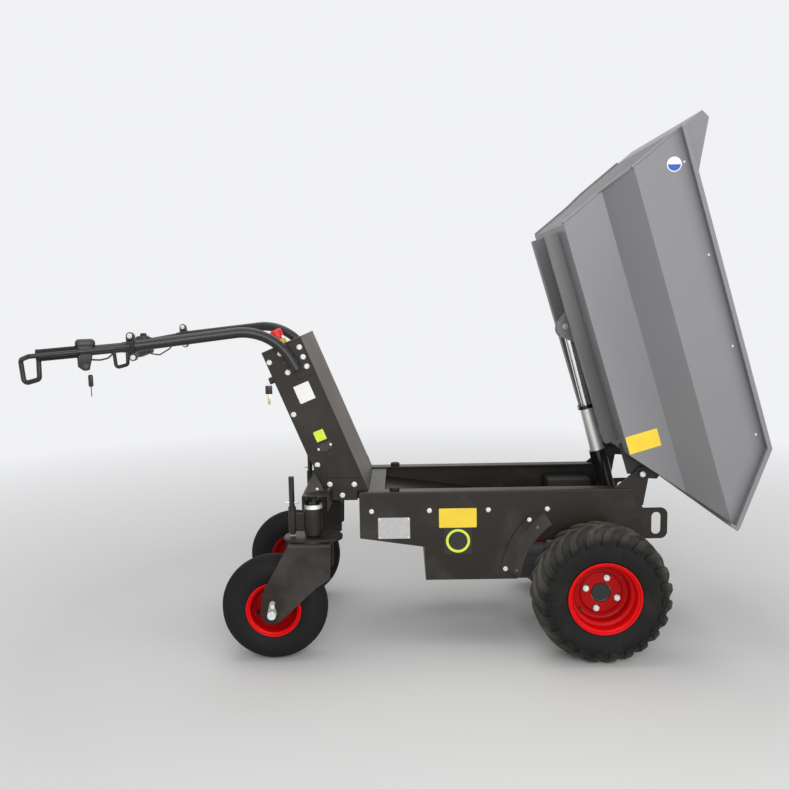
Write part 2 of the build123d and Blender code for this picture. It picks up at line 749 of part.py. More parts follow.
# ---------------------------------------------------------------- caster forks and wheels
fork_inner = caster_tyre_width / 2 + 6
fork_outer = fork_inner + fork_plate
fork_lobe = 36.0
caster_z = caster_tyre_radius
caster_pin_radius = 10.0
ear_reach = 74.0
for side_name, side in SIDES:
    y = side * half_caster
    with BuildPart() as caster_fork:
        with BuildSketch(side_view(y)):
            with BuildLine():
                Polyline(
                    (swivel_x - 70, fork_top_z),
                    (swivel_x + 56, fork_top_z),
                    (swivel_x + 53, fork_top_z - 108),
                    (swivel_x + 10, fork_top_z - 136),
                    (caster_x + 26, caster_z - 25),
                    (caster_x - 2, caster_z - fork_lobe),
                    (caster_x - fork_lobe, caster_z),
                    (caster_x - 27, caster_z + 60),
                    (caster_x - 22, caster_z + 76),
                    close=True,
                )
            make_face()
            with Locations((caster_x, caster_z)):
                Circle(fork_lobe)
        extrude(amount=fork_outer, both=True)
        with BuildSketch(side_view(y)):
            with Locations((swivel_x - 60, (fork_top_z - fork_plate) / 2)):
                Rectangle(400, fork_top_z - fork_plate)
        extrude(amount=fork_inner, both=True, mode=Mode.SUBTRACT)
        with BuildSketch(Plane.XY.offset(fork_top_z)):
            with Locations((swivel_x, y)):
                Circle(56)
            with Locations((swivel_x, y)):
                SlotCenterToCenter(2 * ear_reach - 12, 30)
            with Locations((swivel_x - lock_offset, y), (swivel_x + lock_offset, y)):
                Circle(lock_pin_radius + 0.5, mode=Mode.SUBTRACT)
        extrude(amount=turntable_top_z - fork_top_z)
        with BuildSketch(Plane.XY.offset(fork_top_z)):
            with Locations((swivel_x, y)):
                Circle(stem_radius)
        extrude(amount=beam_top_z - plate - 8 - fork_top_z)
        with BuildSketch(side_view(y)):
            with Locations((caster_x, caster_z)):
                Circle(caster_pin_radius)
        extrude(amount=fork_outer + 1, both=True, mode=Mode.SUBTRACT)
    caster_fork.part.label = f"caster_fork_{side_name}"
    export_step(caster_fork.part, f"parts/caster_fork_{side_name}.step")

    with BuildPart() as spindle_nut:
        with BuildSketch(Plane.XY.offset(housing_top_z + 0.5)):
            with Locations((swivel_x, y)):
                Circle(22)
                Circle(stem_radius, mode=Mode.SUBTRACT)
        extrude(amount=8)
        with BuildSketch(Plane.XY.offset(housing_top_z + 8.5)):
            with Locations((swivel_x, y)):
                RegularPolygon(21, 6)
                Circle(stem_radius, mode=Mode.SUBTRACT)
        extrude(amount=18)
    spindle_nut.part.label = f"spindle_nut_{side_name}"
    export_step(spindle_nut.part, f"parts/spindle_nut_{side_name}.step")

    with BuildPart() as caster_axle:
        with BuildSketch(side_view(y)):
            with Locations((caster_x, caster_z)):
                Circle(caster_pin_radius)
        extrude(amount=fork_outer + 10, both=True)
        for end in (-1, 1):
            with BuildSketch(along_y(caster_x, y + end * fork_outer, caster_z, end)):
                Circle(14)
                with BuildLine():
                    Polyline((-12.5, -end * 6), (12.5, -end * 6), (6, -end * 32), (-6, -end * 32), close=True)
                make_face()
                with Locations((2, -end * 31)):
                    Circle(8)
            extrude(amount=4)
    caster_axle.part.label = f"caster_axle_{side_name}"
    export_step(caster_axle.part, f"parts/caster_axle_{side_name}.step")

    centre = (caster_x, y, caster_z)
    axle_line = Axis(centre, (0, 1, 0))
    caster_bead_radius = caster_rim_radius - 9
    with BuildPart() as caster_tyre:
        with BuildSketch(axle_section(*centre, side)):
            with BuildLine():
                tyre_outline(
                    caster_tyre_radius,
                    caster_tyre_width / 2,
                    caster_rim_radius,
                    caster_rim_width / 2,
                    caster_tyre_wall,
                )
            make_face()
        revolve(axis=axle_line)
    caster_tyre.part.label = f"caster_tyre_{side_name}"
    export_step(caster_tyre.part, f"parts/caster_tyre_{side_name}.step")

    with BuildPart() as caster_rim:
        edge = caster_rim_width / 2
        bead = caster_bead_radius
        hub_half = fork_inner - 1.5
        with BuildSketch(axle_section(*centre, side)):
            with BuildLine():
                Polyline(
                    (-edge, caster_rim_radius),
                    (-edge, caster_rim_radius - 4),
                    (-edge + 7, bead - 4),
                    (-20, bead - 4),
                    (-8, bead - 18),
                    (-3, 40),
                    (-3, 24),
                    (-hub_half, 24),
                    (-hub_half, caster_pin_radius + running_gap),
                    (hub_half, caster_pin_radius + running_gap),
                    (hub_half, 24),
                    (3, 24),
                    (3, 40),
                    (-2, bead - 18),
                    (14, bead - 6),
                    (edge - 7, bead - 4),
                    (edge, caster_rim_radius - 4),
                    (edge, caster_rim_radius),
                    (edge - 3.5, caster_rim_radius),
                    (edge - 5.5, bead),
                    (-edge + 5.5, bead),
                    (-edge + 3.5, caster_rim_radius),
                    close=True,
                )
            make_face()
        revolve(axis=axle_line)
    caster_rim.part.label = f"caster_rim_{side_name}"
    export_step(caster_rim.part, f"parts/caster_rim_{side_name}.step")

# ---------------------------------------------------------------- skip
front_slope = (lip_u - floor_length) / lip_w
rear_slope = rear_rim_u / rim_w
over_w = rim_w + 120
section_points = (
    # y, w up one side
    (low_half_width, 0),
    (low_half_width, fold_low_w),
    (top_half_width, fold_high_w),
    (top_half_width, over_w),
)
section_outline = [(-y, w) for y, w in reversed(section_points)] + list(section_points)
side_outline = [
    (0, 0),
    (floor_length, 0),
    (floor_length + front_slope * over_w, over_w),
    (rear_slope * over_w, over_w),
]

with BuildPart() as skip_hollow:
    with BuildSketch(skip_section(-400)):
        with BuildLine():
            Polyline(*section_outline, close=True)
        make_face()
        offset(amount=-sheet, kind=Kind.INTERSECTION, mode=Mode.REPLACE)
    extrude(amount=2000)
    with BuildSketch(skip_side(0)):
        with BuildLine():
            Polyline(*side_outline, close=True)
        make_face()
        offset(amount=-sheet, kind=Kind.INTERSECTION, mode=Mode.REPLACE)
    extrude(amount=top_half_width + 40, both=True, mode=Mode.INTERSECT)

with BuildPart() as skip_shell:
    with BuildSketch(skip_section(-400)):
        with BuildLine():
            Polyline(*section_outline, close=True)
        make_face()
    extrude(amount=2000)
    with BuildSketch(skip_side(0)):
        with BuildLine():
            Polyline(
                (0, 0),
                (floor_length, 0),
                (lip_u, lip_w),
                (kink_u, rim_w),
                (rear_rim_u, rim_w),
                close=True,
            )
        make_face()
    extrude(amount=top_half_width + 40, both=True, mode=Mode.INTERSECT)
    add(skip_hollow.part, mode=Mode.SUBTRACT)
skip_shell.part.label = "skip_shell"
export_step(skip_shell.part, "parts/skip_shell.step")

rim_drop = Vector(lip_u - kink_u, lip_w - rim_w).normalized()
rim_square = Vector(rim_drop.Y, -rim_drop.X) * rim_bar_height
with BuildPart() as skip_rim:
    for side_name, side in SIDES:
        with BuildSketch(skip_side(side * (top_half_width + rim_bar_width / 2))):
            with BuildLine():
                Polyline(
                    (rear_rim_u, rim_w),
                    (kink_u, rim_w),
                    (lip_u, lip_w),
                    (lip_u + rim_square.X, lip_w + rim_square.Y),
                    (kink_u - 5, rim_w - rim_bar_height),
                    (rear_rim_u - rear_slope * rim_bar_height, rim_w - rim_bar_height),
                    close=True,
                )
            make_face()
        extrude(amount=rim_bar_width / 2, both=True)
    with BuildSketch(skip_side(0)):
        with BuildLine():
            Polyline(
                (lip_u, lip_w),
                (lip_u + 7, lip_w - 9),
                (lip_u + 7 - 18 * front_slope, lip_w - 27),
                (lip_u - 18 * front_slope, lip_w - 18),
                close=True,
            )
        make_face()
    extrude(amount=top_half_width + rim_bar_width, both=True)
skip_rim.part.label = "skip_rim"
export_step(skip_rim.part, "parts/skip_rim.step")

head_u = rear_slope * headboard_w
head_rise = 13.0
head_flange = 24.0
with BuildPart() as skip_headboard:
    with BuildSketch(skip_side(0)):
        with BuildLine():
            Polyline(
                (rear_rim_u, rim_w),
                (head_u, headboard_w),
                (head_u + head_flange, headboard_w + head_rise),
                (head_u + head_flange, headboard_w + head_rise - sheet),
                (head_u + sheet, headboard_w - sheet),
                (rear_rim_u + sheet, rim_w),
                close=True,
            )
        make_face()
    extrude(amount=top_half_width, both=True)
    for side_name, side in SIDES:
        with BuildSketch(skip_side(side * (top_half_width - sheet / 2))):
            with BuildLine():
                Polyline(
                    (rear_rim_u, rim_w),
                    (head_u, headboard_w),
                    (head_u + head_flange, headboard_w + head_rise),
                    (rear_rim_u + wing_length, rim_w),
                    close=True,
                )
            make_face()
        extrude(amount=sheet / 2, both=True)
skip_headboard.part.label = "skip_headboard"
export_step(skip_headboard.part, "parts/skip_headboard.step")

runner_start = 18.0
runner_end = floor_length - 28.0
runner_sheet = 4.0
with BuildPart() as skip_runners:
    for side_name, side in SIDES:
        with BuildSketch(skip_section(runner_start)):
            with Locations((side * (runner_inner_y + runner_width / 2), -runner_depth / 2)):
                Rectangle(runner_width, runner_depth)
            inside = runner_width - 2 * runner_sheet
            with Locations((side * (runner_inner_y + runner_width / 2), runner_sheet - runner_depth / 2)):
                Rectangle(inside, runner_depth, mode=Mode.SUBTRACT)
        extrude(amount=runner_end - runner_start)
skip_runners.part.label = "skip_runners"
export_step(skip_runners.part, "parts/skip_runners.step")

slope_dir = Vector(lip_u - floor_length, lip_w).normalized()
slope_out = Vector(slope_dir.Y, -slope_dir.X)
pivot_along = (pivot_u - floor_length) * slope_dir.X + pivot_w * slope_dir.Y
lug_end = Vector(floor_length, 0) + slope_dir * (pivot_along + lug_reach_past)
lug_corner_point = lug_end + slope_out * 15
with BuildPart() as hinge_lugs:
    for side_name, side in SIDES:
        with BuildSketch(skip_side(side * (lug_inner_y + lug_plate / 2))):
            with BuildLine():
                Polyline(
                    (floor_length - 24, 0),
                    (floor_length, 0),
                    (lug_end.X, lug_end.Y),
                    (lug_corner_point.X, lug_corner_point.Y),
                    (pivot_u + lug_round - 3, pivot_w + 6),
                    (pivot_u, pivot_w - lug_round + 4),
                    (floor_length, -7),
                    close=True,
                )
            make_face()
            with Locations((pivot_u, pivot_w)):
                Circle(lug_round)
                Circle(hinge_pin_radius + running_gap, mode=Mode.SUBTRACT)
        extrude(amount=lug_plate / 2, both=True)
hinge_lugs.part.label = "hinge_lugs"
export_step(hinge_lugs.part, "parts/hinge_lugs.step")

lug_inner = eye_half_width + lug_gap
lug_reach = 34.0
doubler = 5.0
with BuildPart() as cylinder_lugs:
    with BuildSketch(skip_side(0)):
        with Locations((eye_u, -doubler / 2)):
            Rectangle(170, doubler)
    extrude(amount=60, both=True)
    for side_name, side in SIDES:
        with BuildSketch(skip_side(side * (lug_inner + lug_plate / 2))):
            with Locations((eye_u, eye_w)):
                Circle(lug_reach)
            with BuildLine():
                Polyline(
                    (eye_u - 62, -doubler),
                    (eye_u + 66, -doubler),
                    (eye_u + 22, eye_w - 25),
                    (eye_u - 22, eye_w - 25),
                    close=True,
                )
            make_face()
            with Locations((eye_u, lug_reach / 2 - doubler)):
                Rectangle(3 * lug_reach, lug_reach, mode=Mode.SUBTRACT)
        extrude(amount=lug_plate / 2, both=True)
        with BuildSketch(along_y(eye.X, side * (lug_inner + lug_plate), eye.Z, side)):
            Circle(13)
        extrude(amount=7)
cylinder_lugs.part.label = "cylinder_lugs"
export_step(cylinder_lugs.part, "parts/cylinder_lugs.step")

# ---------------------------------------------------------------- tipping cylinder
bore_depth = 150.0
with BuildPart() as cylinder_barrel:
    with BuildSketch(side_view(0)):
        with Locations((lower_pin_x, lower_pin_z)):
            Circle(foot_radius)
    extrude(amount=foot_half_width, both=True)
    with BuildSketch(cylinder_axis(foot_radius / 2)):
        Circle(foot_half_width)
    extrude(amount=barrel_start - foot_radius / 2)
    with BuildSketch(cylinder_axis(barrel_start)):
        Circle(barrel_radius)
    extrude(amount=sleeve_bottom - barrel_start)
    with BuildSketch(side_view(0)):
        with Locations((lower_pin_x, lower_pin_z)):
            Circle(cylinder_pin_radius + running_gap)
    extrude(amount=barrel_radius, both=True, mode=Mode.SUBTRACT)
    with BuildSketch(cylinder_axis(sleeve_bottom - bore_depth)):
        Circle(rod_radius + running_gap)
    extrude(amount=bore_depth, mode=Mode.SUBTRACT)
cylinder_barrel.part.label = "cylinder_barrel"
export_step(cylinder_barrel.part, "parts/cylinder_barrel.step")

tube_stages = (
    # node, start, length, outer radius
    ("cylinder_sleeve", sleeve_bottom, sleeve_length, sleeve_radius),
    ("cylinder_gland", sleeve_top, gland_length, gland_radius),
)
for node, start, length, radius in tube_stages:
    with BuildPart() as stage:
        with BuildSketch(cylinder_axis(start)):
            Circle(radius)
            Circle(rod_radius + running_gap, mode=Mode.SUBTRACT)
        extrude(amount=length)
    stage.part.label = node
    export_step(stage.part, f"parts/{node}.step")

rod_inside = 70.0
neck_radius = eye_half_width - 1
neck_start = cylinder_length - eye_radius - 6
with BuildPart() as cylinder_rod:
    with BuildSketch(cylinder_axis(gland_top - rod_inside)):
        Circle(rod_radius)
    extrude(amount=neck_start - gland_top + rod_inside)
    with BuildSketch(cylinder_axis(neck_start)):
        Circle(neck_radius)
    extrude(amount=eye_radius)
    with BuildSketch(side_view(0)):
        with Locations((eye.X, eye.Z)):
            Circle(eye_radius)
    extrude(amount=eye_half_width, both=True)
cylinder_rod.part.label = "cylinder_rod"
export_step(cylinder_rod.part, "parts/cylinder_rod.step")

# ---------------------------------------------------------------- tower
tower_height = (tower_top_z - deck_z) / math.cos(lean)
rear_top = Vector(tower_top_x, 0, tower_top_z) + tower_back * tower_depth
rear_kink = rear_top + tower_down * tower_kink_down
tower_outline = [
    (tower_top_x, tower_top_z),
    (tower_front_foot_x, deck_z),
    (beam_front_x, deck_z),
    (beam_front_x, beam_top_z),
    (tower_foot_x, beam_top_z),
    (tower_foot_x, beam_top_z + 26),
    (rear_kink.X, rear_kink.Z),
    (rear_top.X, rear_top.Z),
]
with BuildPart() as tower_shell:
    with BuildSketch(side_view(0)):
        with BuildLine():
            Polyline(*tower_outline, close=True)
        make_face()
    extrude(amount=tower_half_width, both=True)
    with BuildSketch(side_view(0)):
        with BuildLine():
            Polyline(
                (rear_top.X + tower_sheet * 1.1 + 40 * -math.sin(lean), rear_top.Z + 40 * math.cos(lean)),
                (rear_kink.X + tower_sheet * 1.1, rear_kink.Z + 1),
                (tower_foot_x + tower_sheet, beam_top_z + 27),
                (tower_foot_x + tower_sheet, deck_z - 40),
                (tower_front_foot_x + 200, deck_z - 40),
                (tower_front_foot_x + 200, tower_top_z + 100),
                close=True,
            )
        make_face()
    extrude(amount=tower_half_width - tower_sheet, both=True, mode=Mode.SUBTRACT)
tower_shell.part.label = "tower_shell"
export_step(tower_shell.part, "parts/tower_shell.step")

with BuildPart() as tower_cover:
    with BuildSketch(tower_side(0)):
        with BuildLine():
            Polyline(
                (-sheet, 0),
                (-sheet, sheet),
                (tower_height - sheet * math.tan(lean), sheet),
                (tower_height, 0),
                close=True,
            )
        make_face()
    extrude(amount=tower_half_width, both=True)
tower_cover.part.label = "tower_cover"
export_step(tower_cover.part, "parts/tower_cover.step")

with BuildPart() as tower_cap:
    with BuildSketch(tower_side(0)):
        with BuildLine():
            Polyline((0, 0), (-sheet, 0), (-sheet, -tower_depth), (0, -tower_depth), close=True)
        make_face()
    extrude(amount=tower_half_width, both=True)
tower_cap.part.label = "tower_cap"
export_step(tower_cap.part, "parts/tower_cap.step")

foot_plate = 6.0
foot_top_z = 548.0
with BuildPart() as tower_feet:
    for side_name, side in SIDES:
        with BuildSketch(side_view(side * (tower_half_width + foot_plate / 2))):
            with BuildLine():
                Polyline(
                    (tower_front_foot_x - 12, foot_top_z),
                    (tower_front_foot_x + 1, deck_z),
                    (chassis_rear_x - 6, deck_z),
                    (chassis_rear_x - 6, deck_z - neck_height),
                    (beam_front_x, deck_z - neck_height),
                    (beam_front_x, beam_top_z),
                    (tower_foot_x - 43, beam_top_z),
                    (tower_foot_x - 19, beam_top_z + 66),
                    (tower_foot_x - 8, beam_top_z + 66),
                    (tower_foot_x + 6, foot_top_z),
                    close=True,
                )
            make_face()
        extrude(amount=foot_plate / 2, both=True)
tower_feet.part.label = "tower_feet"
export_step(tower_feet.part, "parts/tower_feet.step")

# ---------------------------------------------------------------- handlebar
patch = 4.0
bar_root_y = tower_half_width + patch + tube_radius
tube_tail = 28.0
knee_bend = 170.0
clamp_bend = 60.0
sleeve_length_on_grip = 120.0
handle_routes = []
for side_name, side in SIDES:
    clamp_point = Vector(bar_clamp_x, side * bar_clamp_y, bar_clamp_z)
    grip_end = Vector(grip_end_x, side * grip_end_y, bar_clamp_z - grip_drops[side])
    grip_dir = (grip_end - clamp_point).normalized()
    handle_routes.append((side, clamp_point, grip_end, grip_dir))

with BuildPart() as handle_tubes:
    for side, clamp_point, grip_end, grip_dir in handle_routes:
        with BuildLine() as route:
            FilletPolyline(
                (bar_root_x, side * bar_root_y, bar_root_z),
                (bar_knee_x, side * bar_root_y, bar_knee_z),
                clamp_point,
                clamp_point + grip_dir * tube_tail,
                radius=[knee_bend, clamp_bend],
            )
        with BuildSketch(Plane(origin=route.line @ 0, z_dir=route.line % 0)):
            Circle(tube_radius)
        sweep()
        start = clamp_point + grip_dir * tube_tail
        with BuildSketch(Plane(origin=start, z_dir=grip_dir)):
            Circle(grip_tube_radius)
        extrude(amount=(grip_end - start).length)
handle_tubes.part.label = "handle_tubes"
export_step(handle_tubes.part, "parts/handle_tubes.step")

patch_down = 60.0
patch_back = 30.0
patch_length = 118.0
patch_width = 56.0
with BuildPart() as handle_patches:
    for side_name, side in SIDES:
        with BuildSketch(tower_side(side * (tower_half_width + patch / 2))):
            with Locations((patch_down, -patch_back)):
                Rectangle(patch_length, patch_width)
        extrude(amount=patch / 2, both=True)
handle_patches.part.label = "handle_patches"
export_step(handle_patches.part, "parts/handle_patches.step")

with BuildPart() as grip_sleeves:
    for side, clamp_point, grip_end, grip_dir in handle_routes:
        with BuildSketch(Plane(origin=grip_end, z_dir=-grip_dir)):
            Circle(grip_sleeve_radius)
            Circle(grip_tube_radius, mode=Mode.SUBTRACT)
        extrude(amount=sleeve_length_on_grip)
grip_sleeves.part.label = "grip_sleeves"
export_step(grip_sleeves.part, "parts/grip_sleeves.step")

clamp_lean = math.atan2(bar_knee_z - bar_clamp_z, bar_knee_x - bar_clamp_x)
clamp_axis = Vector(-math.cos(clamp_lean), 0, -math.sin(clamp_lean))
clamp_half_length = 12.0
clamp_wall = 5.0
clamp_bolt_offset = 32.0
clamp_lobe = 11.0
clamp_jaw = 16.0
with BuildPart() as handle_clamps:
    for side, clamp_point, grip_end, grip_dir in handle_routes:
        with BuildSketch(Plane(origin=clamp_point, x_dir=(0, 1, 0), z_dir=clamp_axis)):
            Circle(tube_radius + clamp_wall)
            Rectangle(clamp_jaw, 2 * clamp_bolt_offset)
        extrude(amount=clamp_half_length, both=True)
        jaw_y = side * (bar_clamp_y - clamp_jaw / 2)
        with BuildSketch(along_y(bar_clamp_x, jaw_y, bar_clamp_z, side)):
            with PolarLocations(clamp_bolt_offset, 2, start_angle=90 - side * math.degrees(clamp_lean)):
                Circle(clamp_lobe)
        extrude(amount=clamp_jaw)
    add(handle_tubes.part, mode=Mode.SUBTRACT)
handle_clamps.part.label = "handle_clamps"
export_step(handle_clamps.part, "parts/handle_clamps.step")

# hand guards: a rod outside each grip that turns down in a loop behind it
guard_offset = grip_sleeve_radius + guard_radius + 3.0
guard_corners = (
    # x and z from the grip's end, share of the offset outside the grip
    (-8.0, 0.0, 1.0),
    (-44.4, -11.0, 0.0),
    (-38.0, -80.0, 0.0),
    (7.0, -68.0, 0.0),
    (8.0, -12.0, 0.0),
)
guard_start_run = 40.0
guard_spread = 8.0
with BuildPart() as grip_bars:
    for side, clamp_point, grip_end, grip_dir in handle_routes:
        start = clamp_point + Vector(0, side * (tube_radius + guard_radius - 2), 0)
        with BuildLine() as guard:
            FilletPolyline(
                start,
                start + grip_dir * guard_start_run + Vector(0, side * guard_spread, 0),
                *[
                    grip_end + Vector(x, side * share * guard_offset, z)
                    for x, z, share in guard_corners
                ],
                radius=12,
            )
        with BuildSketch(Plane(origin=guard.line @ 0, z_dir=guard.line % 0)):
            Circle(guard_radius)
        sweep()
    add(handle_tubes.part, mode=Mode.SUBTRACT)
    add(handle_clamps.part, mode=Mode.SUBTRACT)
    add(grip_sleeves.part, mode=Mode.SUBTRACT)
grip_bars.part.label = "grip_bars"
export_step(grip_bars.part, "parts/grip_bars.step")

# control housings round the grips' tubes, corners along the grip and up from the tower's top
unit_outlines = (
    # side, corners as distance forward along the grip and height
    (-1, ((-10, 0), (7, 9), (33, 9), (37, 0), (31, -42), (23, -76), (7, -77), (-9, -65))),
    (1, ((-59, -21), (-48, -13), (-20, -12), (-1, -52), (-1, -76), (-59, -95))),
)
unit_outward = 15.0
unit_inward = 24.0
unit_round = 6.0
unit_chamfer = 3.0


def grip_axis_y(back):
    """How far out a grip's axis is, at a distance back from the tower's top edge."""
    share = (back - bar_clamp_back) / (grip_end_back - bar_clamp_back)
    return bar_clamp_y + share * (grip_end_y - bar_clamp_y)


unit_y = grip_axis_y(unit_back)
unit_middle = (unit_outward - unit_inward) / 2
splay = math.atan2(grip_end_outward - bar_clamp_outward, grip_end_back - bar_clamp_back)
with BuildPart() as control_units:
    for side, corners in unit_outlines:
        across = Vector(-side * math.sin(splay), -math.cos(splay), 0)
        centre = Vector(tower_top_x - unit_back, side * unit_y, tower_top_z) - across * side * unit_middle
        along = (math.cos(splay), -side * math.sin(splay), 0)
        with BuildSketch(Plane(origin=centre, x_dir=along, z_dir=across)):
            with BuildLine():
                Polyline(*corners, close=True)
            unit_face = make_face()
            fillet(unit_face.vertices(), unit_round)
        extrude(amount=(unit_outward + unit_inward) / 2, both=True)
    chamfer(control_units.faces().sort_by(SortBy.AREA)[-4:].edges(), unit_chamfer)
    add(handle_tubes.part, mode=Mode.SUBTRACT)
    add(grip_sleeves.part, mode=Mode.SUBTRACT)
control_units.part.label = "control_units"
export_step(control_units.part, "parts/control_units.step")

lead_radius = 2.5
lead_bend = 14.0
lead_routes = (
    # side, points as x and z from the tower's top edge
    (-1, ((-594, -46), (-570, -48), (-550, -44), (-519, -16))),
    (1, ((-624, -80), (-590, -84), (-546, -60), (-506, -14))),
)
with BuildPart() as control_leads:
    for side, points in lead_routes:
        with BuildLine() as lead:
            FilletPolyline(
                *[(tower_top_x + x, side * grip_axis_y(-x), tower_top_z + z) for x, z in points],
                radius=lead_bend,
            )
        with BuildSketch(Plane(origin=lead.line @ 0, z_dir=lead.line % 0)):
            Circle(lead_radius)
        sweep()
    add(handle_tubes.part, mode=Mode.SUBTRACT)
    add(control_units.part, mode=Mode.SUBTRACT)
control_leads.part.label = "control_leads"
export_step(control_leads.part, "parts/control_leads.step")

# ---------------------------------------------------------------- controls on the tower
stop_back = 90.0
stop_base_height = 16.0
stop_base_radius = 21.0
stop_neck_height = 10.0
stop_neck_radius = 12.0
stop_head_height = 26.0
stop_head_radius = 20.0
stop_head_chamfer = 5.0
stop_foot = Vector(tower_top_x, 0, tower_top_z) + tower_back * stop_back - tower_down * sheet
with BuildPart() as e_stop_base:
    with BuildSketch(Plane(origin=stop_foot, z_dir=-tower_down)):
        Circle(stop_base_radius)
    extrude(amount=stop_base_height)
e_stop_base.part.label = "e_stop_base"
export_step(e_stop_base.part, "parts/e_stop_base.step")

stop_steps = (
    # start height, height, radius
    (stop_base_height, stop_neck_height, stop_neck_radius),
    (stop_base_height + stop_neck_height, stop_head_height, stop_head_radius),
)
with BuildPart() as e_stop_button:
    for start_height, height, radius in stop_steps:
        with BuildSketch(Plane(origin=stop_foot - tower_down * start_height, z_dir=-tower_down)):
            Circle(radius)
        extrude(amount=height)
    chamfer(e_stop_button.faces().sort_by(Axis.Z)[-1].edges(), stop_head_chamfer)
e_stop_button.part.label = "e_stop_button"
export_step(e_stop_button.part, "parts/e_stop_button.step")

key_down = 90.0
key_y = -130.0
key_collar_radius = 14.0
key_collar = 5.0
key_barrel_radius = 11.0
key_barrel = 22.0
switch_foot = rear_top + tower_down * key_down + Vector(0, key_y, 0)
with BuildPart() as key_switch:
    with BuildSketch(Plane(origin=switch_foot, z_dir=tower_back)):
        Circle(key_collar_radius)
    extrude(amount=key_collar)
    with BuildSketch(Plane(origin=switch_foot, z_dir=tower_back)):
        Circle(key_barrel_radius)
    extrude(amount=key_barrel)
key_switch.part.label = "key_switch"
export_step(key_switch.part, "parts/key_switch.step")

socket_down = 345.0
socket_back = 68.0
socket_flange_length = 54.0
socket_flange_width = 26.0
socket_flange = 3.0
socket_radius = 15.0
socket_depth = 11.0
with BuildPart() as charge_socket:
    with BuildSketch(tower_side(-tower_half_width)):
        with Locations((socket_down, -socket_back)):
            SlotOverall(socket_flange_length, socket_flange_width, rotation=90)
    extrude(amount=socket_flange)
    with BuildSketch(tower_side(-tower_half_width)):
        with Locations((socket_down, -socket_back)):
            Circle(socket_radius)
    extrude(amount=socket_depth)
charge_socket.part.label = "charge_socket"
export_step(charge_socket.part, "parts/charge_socket.step")

box_length = 150.0
box_depth = 108.0
box_bottom_z = saddle_top_z + 6.0
box_height = 68.0
box_chamfer = 4.0
box_behind_axle = 15.0
with BuildPart() as controller_box:
    with BuildSketch(Plane.XY.offset(box_bottom_z)):
        with Locations((drive_x - box_behind_axle, inner_y - box_depth / 2)):
            Rectangle(box_length, box_depth)
    extrude(amount=box_height)
    chamfer(controller_box.faces().sort_by(Axis.Z)[-1].edges(), box_chamfer)
controller_box.part.label = "controller_box"
export_step(controller_box.part, "parts/controller_box.step")
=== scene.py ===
"""Looks of a walk-behind mini dumper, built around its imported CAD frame.

Metres, +X towards the dumping end, +Y to the machine's left, +Z up.
"""

import json
import math

import bmesh
import bpy
from mathutils import Matrix, Vector

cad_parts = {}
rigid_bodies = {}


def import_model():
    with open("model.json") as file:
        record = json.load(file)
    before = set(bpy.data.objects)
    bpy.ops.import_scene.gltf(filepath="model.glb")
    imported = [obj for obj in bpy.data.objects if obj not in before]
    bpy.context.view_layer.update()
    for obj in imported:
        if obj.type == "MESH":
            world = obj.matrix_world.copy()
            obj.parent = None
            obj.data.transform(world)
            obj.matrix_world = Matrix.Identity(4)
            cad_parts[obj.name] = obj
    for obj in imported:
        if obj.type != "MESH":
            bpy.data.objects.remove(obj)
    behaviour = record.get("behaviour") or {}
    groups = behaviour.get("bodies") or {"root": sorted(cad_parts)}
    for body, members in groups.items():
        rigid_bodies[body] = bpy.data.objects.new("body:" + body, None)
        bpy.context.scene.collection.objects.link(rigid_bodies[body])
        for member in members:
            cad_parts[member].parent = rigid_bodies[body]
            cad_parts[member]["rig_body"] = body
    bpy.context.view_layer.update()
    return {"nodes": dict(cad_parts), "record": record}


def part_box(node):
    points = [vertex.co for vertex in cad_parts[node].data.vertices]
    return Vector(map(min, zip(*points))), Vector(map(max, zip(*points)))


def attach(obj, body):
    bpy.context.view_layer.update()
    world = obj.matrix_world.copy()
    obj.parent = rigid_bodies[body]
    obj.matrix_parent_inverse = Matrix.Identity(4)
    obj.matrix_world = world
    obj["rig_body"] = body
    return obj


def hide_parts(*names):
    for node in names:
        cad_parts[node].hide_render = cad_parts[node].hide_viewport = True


bl_info = {
    "name": "Walk-behind dumper looks",
    "version": (1, 0, 0),
    "blender": (4, 5, 0),
    "location": "View3D > Sidebar > Dumper",
    "description": "Dresses a packed mini dumper: paint, tyres, fasteners, labels and stage",
    "category": "Object",
}

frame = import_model()
MM = 0.001
SIDES = (("left", 1), ("right", -1))


# ---------------------------------------------------------------- materials
class Wire:
    """One output of a finish's node tree, used in plain arithmetic."""

    def __init__(self, finish, socket):
        self.finish = finish
        self.socket = socket

    def maths(self, operation, first, second=0.0, clamp=False):
        settings = {"operation": operation, "use_clamp": clamp}
        return self.finish.node("ShaderNodeMath", settings, {0: first, 1: second})

    def __add__(self, other):
        return self.maths("ADD", self, other)

    __radd__ = __add__

    def __sub__(self, other):
        return self.maths("SUBTRACT", self, other)

    def __rsub__(self, other):
        return self.maths("SUBTRACT", other, self)

    def __mul__(self, other):
        return self.maths("MULTIPLY", self, other)

    __rmul__ = __mul__

    def __pow__(self, other):
        return self.maths("POWER", self, other)

    def clamped(self):
        return self.maths("MULTIPLY", self, 1.0, clamp=True)

    def ramp(self, low, high):
        """0 below low, 1 above high, straight between them."""
        return self.finish.node(
            "ShaderNodeMapRange", {"clamp": True}, {"Value": self, "From Min": low, "From Max": high}, "Result"
        )


